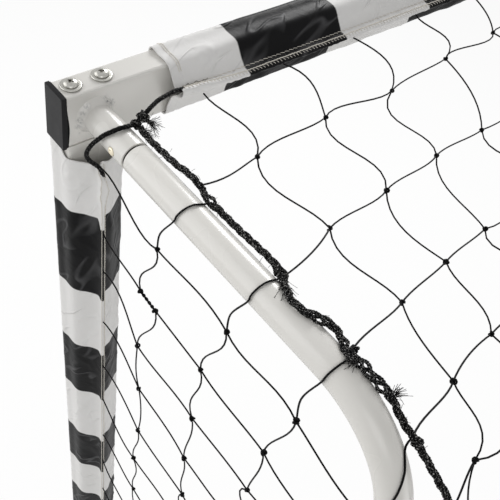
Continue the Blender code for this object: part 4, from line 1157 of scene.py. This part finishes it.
def seam_foot(side):
    """Where a side rope is tied to the rear tube's top at the corner."""
    from_centre = TUBE_INWARD + CORNER_RADIUS - SEAM_FOOT_INWARD
    bow = CORNER_RADIUS - math.sqrt(CORNER_RADIUS**2 - from_centre**2)
    return spot(side, SEAM_FOOT_INWARD, REAR_BACK - bow, REAR_TOP - 2.5)


def route(side, places):
    """A rope's points from (inward, back, down)."""
    return [spot(side, *place) for place in places]


def back_down(path):
    """How far back and how far down a path's places lie, in mm."""
    return BAR_BACK - path[:, 1] / MM, GOAL_HEIGHT - path[:, 2] / MM


braided_polyester = flecked_yarn("braided_polyester_rope", ROPE_BLACK, ROPE_FLECK_AND_HIGHLIGHT, 0.9, 0.1, 0.6)
smooth_polyester = flecked_yarn("smooth_polyester_rope", ROPE_BLACK, "#a3a2a0", 0.9, 0.04, 0.42)
loops = {}
border_lines = []
for side_name, side in SIDES.items():
    loops[side_name] = evenly(smooth_through(route(side, LOOP_ROUTE), 8), step=1.2 * MM)
    border_lines += braid(loops[side_name], BORDER_ROPE)
border_rope = cords("border_rope_loops", border_lines, 0.36 * BORDER_ROPE, 6, smooth_polyester)
mount(border_rope, "braided_rope", "border_rope")
whole = [*loops["left"], *route(-1, HEM_ROUTE), *route(1, HEM_ROUTE)[::-1], *loops["right"][::-1]]
mount(cords("border_rope_core", [whole], 0.62 * BORDER_ROPE, 8, smooth_polyester), "braided_rope")

side_paths = {}
for number, (side_name, side) in enumerate(SIDES.items()):
    random = np.random.default_rng(60 + number)
    near = evenly(smooth_through(route(side, SIDE_ROUTE), 6), step=1.5 * MM)
    path = np.vstack([near, evenly([near[-1], seam_foot(side)], step=4 * MM)[1:]])
    side_paths[side_name] = path
    run = run_along(path) / MM
    back, _ = back_down(path)
    wander = np.interp(run, np.arange(0, 2400, 23), np.cumsum(random.normal(0, 0.35, 105)))
    spread = np.full(len(path), STRAND_SPREAD)
    for place, opening in STRAND_OPENINGS:
        spread += opening * np.exp(-(((back - place) / OPENING_LENGTH) ** 2))
    winding = math.tau * run / STRAND_PITCH + wander
    yarns = []
    for strand in wound(path, spread, winding, [math.tau * k / 3 for k in range(3)]):
        yarns += braid(strand, SIDE_STRAND, yarns=4, pitch=9)
    side_rope = cords(f"side_rope_strands_{side_name}", yarns, 0.45 * SIDE_STRAND, 5, braided_polyester)
    mount(side_rope, "braided_rope", f"side_rope_{side_name}")

# The ropes' knots, pulled tight, and their cut ends, which fray. Loose filaments stand off all along.
KNOTS = (
    # inward, back, down, size, yarn radius
    (46.6, 36, 9.6, 4.3, 1.7), (39, 38, 13.2, 3.3, 1.5), (39.5, 214, 14.8, 3.6, 1.4), (41, 219, 16, 2.4, 1.2),
    (31.5, 297, 11, 3.4, 1.4), (37, 292, 12, 2.4, 1.3), (41.6, 356, 42, 3.4, 1.5),
)
TUFTS = (
    # inward, back, down; toward (inward, back, down); length, filaments, spread
    ((49, 40, 13), (0.9, 0.5, 0.45), 13, 60, 0.4), ((41, 46, 15), (0.3, 0.9, 0.1), 9, 50, 0.45),
    ((36, 222, 13), (-0.5, 0.85, -0.1), 17, 70, 0.13), ((41, 327, 25), (0.95, 0.1, -0.3), 11, 40, 0.2),
    ((35, 262, 11), (-0.3, 0.9, 0.1), 6, 14, 0.4), ((29, 299, 9), (-0.8, 0.3, 0.0), 6, 30, 0.5),
)
LOOSE_FILAMENTS = 90


def tight_knot(centre, size, tilt):
    """A closed overhand knot's line, about the given size across."""
    t = np.linspace(0, math.tau, 61)[:-1]
    line = np.stack([np.sin(t) + 2 * np.sin(2 * t), np.cos(t) - 2 * np.cos(2 * t), -1.6 * np.sin(3 * t)], 1)
    turn = np.array(Quaternion((0.3, 0.8, 0.5), tilt).to_matrix())
    return centre + (line / 3) @ turn.T * size * MM


for side_name, side in SIDES.items():
    random = np.random.default_rng(5)
    knot_lines = []
    for number, (inward, back, down, size, radius) in enumerate(KNOTS):
        line = tight_knot(spot(side, inward, back, down), size, 0.9 + 1.7 * number)
        knot_lines += braid(evenly(line, step=1.2 * MM, closed=True), radius, yarns=6, pitch=9)
    mount(cords(f"rope_knots_{side_name}", knot_lines, 0.62, 5, braided_polyester), "braided_rope")
    hairs = []
    for place, (inward, back, down), length, count, spread in TUFTS:
        toward = (-side * inward, -back, -down)
        hairs += fray(spot(side, *place), toward, length, count, spread, random)
    path = side_paths[side_name]
    for index in random.integers(0, 260, LOOSE_FILAMENTS):
        start = path[index] + random.normal(0, 1.6, 3) * MM
        hairs += fray(start, random.normal(0, 1, 3), 5, 1, 0.3, random)
    mount(cords(f"frayed_ends_{side_name}", hairs, 0.17, 4, braided_polyester), "braided_rope")

# The net: square meshes knotted from stiff black polyethylene twine. It hangs from the hems and side
# ropes and is tied to the ground frame. Each string is a little longer than its mesh, so it curves.
TWINE = 0.78
COLUMNS = 25
FIRST_COLUMN = 116
COLUMN_PITCH = 90.3
HEM_EDGE = (25, 20.5)
HEM_TO_FOLD = 365.6
ROPE_TO_FOLD = 362
ROPE_RISE = 12
ROPE_TIES = (137, 220, 294, 352)
ROOF_TIES = (119, 220, 294, 352)
TUBE_LEAVES = (130, 217, 293, 396)
ROOF_ROWS = (66, 154, 240, 322)
# The net's section as (back, down): by a side it is taut, and amid the sides the roof sags.
HEM_START = (21, 20)
FOLD = (385, 60)
SAGGING_ROOF = ((150, 58), (270, 80), (385, 84))
REAR = (REAR_BACK, REAR_TOP)
FOLD_ROW = len(ROOF_ROWS) + 1
BACK_ROWS = 18
BACK_FIRST_ROW = 40
BACK_ROW_PITCH = 86.5
SAG_SHAPE = 1.5
# Away from the corner the knots and the strings' bends are drawn at random, with these spreads.
KNOT_DRIFT = 3.5
ROW_BEND = 3
COLUMN_BEND = 8
TWINE_BLACK = "#0b0b0c"
# Knots of the roof by the corner, (column, row): (inward, back, down).
ROOF_KNOTS = {
    (0, 1): (116, 101, 33), (0, 2): (126, 184, 48), (0, 3): (134, 263, 63), (0, 4): (120, 332, 71),
    (0, 5): (100, 380, 93), (1, 1): (204, 90, 35), (1, 2): (204, 174, 54), (1, 3): (206, 250, 73),
    (1, 4): (192, 317, 86), (2, 1): (294, 88, 40), (2, 2): (288, 161, 62), (2, 3): (280, 238, 86),
    (3, 1): (384, 78, 40), (3, 2): (368, 154, 70), (4, 1): (474, 69, 42),
}
# How far those strings stand off their chords, in mm, at one third and two thirds of the way.
DOWN_COLUMN_BENDS = {
    (0, 0): (5, 12), (0, 1): (-12, -5), (0, 2): (-10, -4), (0, 3): (-4, -3), (0, 4): (6, 11),
    (1, 0): (12, 9), (1, 1): (-6, 7), (1, 2): (-13, -10), (1, 3): (1, 6), (2, 0): (14, 17),
    (2, 1): (-17, -3), (2, 2): (-11, -6), (3, 0): (8, 18), (3, 1): (8, 9),
}
ALONG_ROW_BENDS = {
    (-1, 1): (-5, -3), (0, 1): (5, 1), (1, 1): (6, -1), (2, 1): (3, 1), (3, 1): (3, -6), (-1, 2): (-3, -3),
    (0, 2): (1, -2), (1, 2): (1, -2), (2, 2): (2, 0), (-1, 3): (2, 0), (0, 3): (1, 0), (1, 3): (1, 0),
    (-1, 4): (1, -1), (0, 4): (3, 3), (-1, 5): (-1, 0),
}


def hang(fixed, free, links):
    """Gives each free knot the mean of its neighbours' values, all at once."""
    order = {key: i for i, key in enumerate(free)}
    matrix = np.zeros((len(free), len(free)))
    load = np.zeros((len(free), 3))
    for a, b in links:
        for here, there in ((a, b), (b, a)):
            if here not in order:
                continue
            row = order[here]
            matrix[row, row] += 1
            if there in order:
                matrix[row, order[there]] -= 1
            else:
                load[row] += fixed[there]
    found = np.linalg.solve(matrix, load)
    return {**fixed, **{key: found[i] for key, i in order.items()}}


def bent(a, b, offsets, up, samples=11):
    """A string that stands off its chord by the offsets, in mm, at one third and at two thirds."""
    way = b - a
    sideways = np.cross(up, way)
    sideways /= np.linalg.norm(sideways)
    t = np.linspace(0, 1, samples)[:, None]
    first = 13.5 * t * (t - 2 / 3) * (t - 1)
    second = -13.5 * t * (t - 1 / 3) * (t - 1)
    return a + way * t + sideways * (offsets[0] * first + offsets[1] * second) * MM


def knot_pattern():
    """A knot of twine: two round turns, drawn tight side by side."""
    angles = [math.tau * i / 8 for i in range(9)]
    turns = [
        [Vector((shift + lean * math.cos(a), 1.35 * math.cos(a), 1.35 * math.sin(a))) * MM for a in angles]
        for shift, lean in ((-0.9, 0.56), (0.9, -0.56))
    ]
    return cords("twine_knot", turns, 0.95, 5, polyethylene_twine)


def net_piece(name, node, strings, knots, random):
    """A panel's strings, and a knot of twine at each of its crossings, turned at random."""
    mount(cords(name, strings, TWINE, 6, polyethylene_twine), "net_twine", node)
    turns = [
        Quaternion(Vector(random.normal(0, 1, 3)).normalized(), random.uniform(0, math.tau))
        for _ in knots
    ]
    sizes = random.uniform(0.95, 1.25, len(knots))
    mount(copies(f"{name}_knots", twine_knot, knots, turns, polyethylene_twine, sizes), "net_twine")


def on_line(points, distance):
    """The place at a distance in mm along a line of (back, down) points."""
    points = np.asarray(points, float)
    run = run_along(points)
    return np.array([np.interp(distance, run, points[:, k]) for k in (0, 1)])


def hanging(inward, distance):
    """The net's place at a distance in mm from the hem, sagging more amid its sides."""
    sag = (1 - ((HALF_WIDTH - inward) / HALF_WIDTH) ** 2) ** SAG_SHAPE
    taut = on_line((HEM_START, FOLD, REAR), distance)
    amid = on_line((HEM_START, *SAGGING_ROOF, REAR), distance)
    return spot(-1, inward, *(taut * (1 - sag) + amid * sag))


def nearest(path, values, wanted):
    """The path's place whose value is nearest to the wanted one."""
    return path[np.argmin(np.abs(values - wanted))]


polyethylene_twine = flecked_yarn("polyethylene_twine", TWINE_BLACK, "#4a4a4c", 1.0, -0.02, 0.42)
twine_knot = knot_pattern()
random = np.random.default_rng(21)
rows = [*ROOF_ROWS, *(HEM_TO_FOLD + BACK_FIRST_ROW + BACK_ROW_PITCH * k for k in range(BACK_ROWS))]
LAST = len(rows)
rule = {}
for i in range(COLUMNS):
    inward = FIRST_COLUMN + i * COLUMN_PITCH
    rule[i, 0] = spot(-1, inward, *HEM_EDGE)
    rule[i, LAST + 1] = spot(-1, inward, REAR_BACK + 2, REAR_TOP - 1)
    for j, distance in enumerate(rows, 1):
        rule[i, j] = hanging(inward, distance)
for side_name, end in (("left", -1), ("right", COLUMNS)):
    path = side_paths[side_name]
    back, down = back_down(path)
    for j, distance in enumerate(rows, 1):
        if j < FOLD_ROW:
            rule[end, j] = nearest(path, back, ROOF_TIES[j - 1])
        else:
            rule[end, j] = nearest(path, down, on_line((FOLD, REAR), distance - ROPE_TO_FOLD)[1] - ROPE_RISE)
crossings = [(i, j) for i in range(COLUMNS) for j in range(1, LAST + 1)]
free = [(i, j) for i, j in crossings if (min(i, COLUMNS - 1 - i), j) not in ROOF_KNOTS]
fixed = {key: np.zeros(3) for key in rule if key not in free}
for (i, j), place in ROOF_KNOTS.items():
    for side, column in ((-1, i), (1, COLUMNS - 1 - i)):
        fixed[column, j] = spot(side, *place) - rule[column, j]
links = [((i, j), (i + 1, j)) for i in range(-1, COLUMNS) for j in range(1, LAST + 1)]
links += [((i, j), (i, j + 1)) for i in range(COLUMNS) for j in range(LAST + 1)]
shifts = hang(fixed, free, links)
places = {key: rule[key] + shifts[key] for key in rule}
for key in free:
    places[key] += random.normal(0, KNOT_DRIFT, 3) * MM
panels = {"roof": ([], []), "back": ([], [])}
for a, b in links:
    along_row = a[1] == b[1]
    mirrored = a[0] > COLUMNS / 2
    start = COLUMNS - 1 - a[0] - along_row if mirrored else a[0]
    bends = ALONG_ROW_BENDS if along_row else DOWN_COLUMN_BENDS
    drift = ROW_BEND if along_row else COLUMN_BEND
    offsets = np.array(bends.get((start, a[1]), random.normal(0, drift, 2)))
    ends = (b, a) if mirrored and along_row else (a, b)
    panel, up = ("roof", (0, 0.2, 1)) if b[1] <= FOLD_ROW else ("back", (0, -0.95, 0.3))
    line = bent(*(places[key] for key in ends), -offsets if mirrored else offsets, up)
    panels[panel][0].append(line)
for (i, j), place in places.items():
    if 0 < j <= LAST:
        panels["roof" if j < FOLD_ROW else "back"][1].append(place)
for panel, (strings, knots) in panels.items():
    net_piece(f"{panel}_netting", f"{panel}_net", strings, knots, random)

# The side panels hang outside the depth tubes. Their columns start on the side rope, cross over the
# tube and drop to the ground frame, and their rows run from the post's hem to the rear seam.
SIDE_ROWS = 20
SIDE_FIRST_ROW = 82.5
SIDE_ROW_PITCH = 75.5
SIDE_FIRST_COLUMN = 105
SIDE_COLUMN_PITCH = 83
SIDE_PLANE = 10.5
SIDE_DRIFT = 3
SIDE_BEND = 4
# Where rows are tied to the post's hem: (inward, back), how far down, and how far up past the list.
POST_HEM = (17.5, 24.5)
HEM_TIES = (63, 142, 195, 276, 359, 429, 515, 583)
TIE_RISE = 18
# The rear seam starts this far down. Rows drop towards it, and columns keep a gap from it.
SEAM_TOP = 60
SEAM_DROP = 6
SEAM_GAP = 25
LAST_FOOT = 800
SIDE_KNOTS = {
    (0, 0): (114, 72), (0, 1): (96, 144), (0, 2): (96, 227), (0, 3): (103, 294), (0, 4): (106, 374),
    (0, 5): (101, 446), (0, 6): (105, 521), (1, 0): (204, 76), (1, 1): (184, 153), (1, 2): (184, 233),
    (1, 3): (182, 313), (1, 4): (189, 384), (2, 0): (286, 87), (2, 1): (268, 162), (2, 2): (264, 237),
    (3, 0): (360, 106), (3, 1): (346, 184),
}
# Where a string crosses the tube, in degrees from its inner side, and how it then hangs slack.
OVER_TUBE = (60, 185)
STRING_SLACK = (0, 6, -3)
# From this knot two strings run twisted as far as (back, down).
TWISTED_KNOT = (0, 1)
TWISTED_END = (119, 147)
TWIST_RADIUS = 0.75
TWIST_TURN = 17
SIDE_ROW_BENDS = {
    (0, 0): (-3, -6), (1, 0): (3, -4), (2, 0): (3, 5), (-1, 1): (2, 0), (0, 1): (0, 0),
    (1, 1): (3, 1), (-1, 2): (-14, -9), (0, 2): (1, -2), (1, 2): (-1, -2), (-1, 3): (-10, -7),
    (0, 3): (-3, -5), (-1, 4): (-9, -7), (0, 4): (2, 1), (-1, 5): (5, 8), (0, 5): (-4, -8),
}
SIDE_COLUMN_BENDS = {
    (0, 0): (-3, 5), (0, 1): (-5, 1), (0, 2): (3, 4), (0, 3): (-4, -4), (0, 4): (-3, 1), (0, 5): (-6, 0),
    (1, 0): (-4, 2), (1, 1): (-2, 5), (1, 2): (-3, 0), (1, 3): (-1, 3), (2, 0): (-2, 1), (2, 1): (-3, -1),
}


def on_tube(side, run, degrees):
    """A place just off the depth tube's skin, from its inner side at 0 over the top to the outer at 180."""
    bend = max(0.0, run - STRAIGHT_RUN) / BEND_RADIUS
    around_bend = BEND_RADIUS * np.array([math.sin(bend), 1 - math.cos(bend)])
    centre = np.array([min(run, STRAIGHT_RUN), TUBE_DOWN]) + around_bend
    radius, angle = TUBE_RADIUS + 1.15, math.radians(degrees)
    back, down = centre + radius * math.sin(angle) * np.array([math.sin(bend), -math.cos(bend)])
    return spot(side, TUBE_INWARD + radius * math.cos(angle), back, down)


for side_name, side in SIDES.items():
    random = np.random.default_rng(44 + side)
    rope = side_paths[side_name]
    rope_back, rope_down = back_down(rope)
    seam = rope[rope_down > SEAM_TOP]
    seam_back, seam_down = back_down(seam)
    places, links, grid = {}, [], []
    for k in range(SIDE_ROWS):
        row_down = SIDE_FIRST_ROW + SIDE_ROW_PITCH * k
        tie = HEM_TIES[k] if k < len(HEM_TIES) else row_down - TIE_RISE
        places[-1, k] = spot(side, *POST_HEM, tie)
        rear = np.interp(row_down, seam_down, seam_back)
        columns = range(int((rear - SEAM_GAP - SIDE_FIRST_COLUMN) / SIDE_COLUMN_PITCH) + 1)
        grid += [(c, k) for c in columns]
        places["seam", k] = nearest(seam, seam_down, row_down + SEAM_DROP)
        row = [(-1, k), *((c, k) for c in columns), ("seam", k)]
        links += zip(row, row[1:])
    for c, k in grid:
        rule_place = (SIDE_FIRST_COLUMN + c * SIDE_COLUMN_PITCH, SIDE_FIRST_ROW + k * SIDE_ROW_PITCH)
        wobble = (0, 0) if (c, k) in SIDE_KNOTS else random.normal(0, SIDE_DRIFT, 2)
        back, down = np.array(SIDE_KNOTS.get((c, k), rule_place)) + wobble
        places[c, k] = spot(side, SIDE_PLANE, back, down)
        if (c, k + 1) in grid:
            links.append(((c, k), (c, k + 1)))
        if k == SIDE_ROWS - 1:
            places["foot", c] = spot(side, TUBE_INWARD, min(back, LAST_FOOT), REAR_TOP - 1)
            links.append(((c, k), ("foot", c)))
        if (c, k - 1) not in grid and c >= len(ROPE_TIES):
            places["start", c] = nearest(seam, seam_back, back)
            links.append((("start", c), (c, k)))
    strings = []
    for c, (tie, leave) in enumerate(zip(ROPE_TIES, TUBE_LEAVES)):
        runs, angles = np.linspace((tie, OVER_TUBE[0]), (leave, OVER_TUBE[1]), 5).T
        over = [on_tube(side, run, angle) for run, angle in zip(runs, angles)]
        slack = (over[-1] + places[c, 0]) / 2 + np.array(STRING_SLACK) * MM
        line = smooth_through([nearest(rope, rope_back, tie), *over, slack, places[c, 0]], 5)
        strings.append(evenly(line, count=34))
    twisted_end = spot(side, SIDE_PLANE, *TWISTED_END)
    for a, b in links:
        is_row = a[0] != "start" and a[1] == b[1]
        bends = SIDE_ROW_BENDS if is_row else SIDE_COLUMN_BENDS
        offsets = np.array(bends.get(a, random.normal(0, SIDE_BEND, 2))) * -side
        start = twisted_end if a == TWISTED_KNOT else places[a]
        strings.append(bent(start, places[b], offsets, (1, 0, 0)))
    pair = evenly([places[TWISTED_KNOT], twisted_end], count=40)
    strings += wound(pair, np.full(40, TWIST_RADIUS), np.linspace(0, TWIST_TURN, 40), (0, math.pi))
    knots = [place for key, place in places.items() if key[0] != -1] + [twisted_end]
    net_piece(f"side_netting_{side_name}", f"side_net_{side_name}", strings, knots, random)
bpy.data.objects.remove(twine_knot, do_unlink=True)
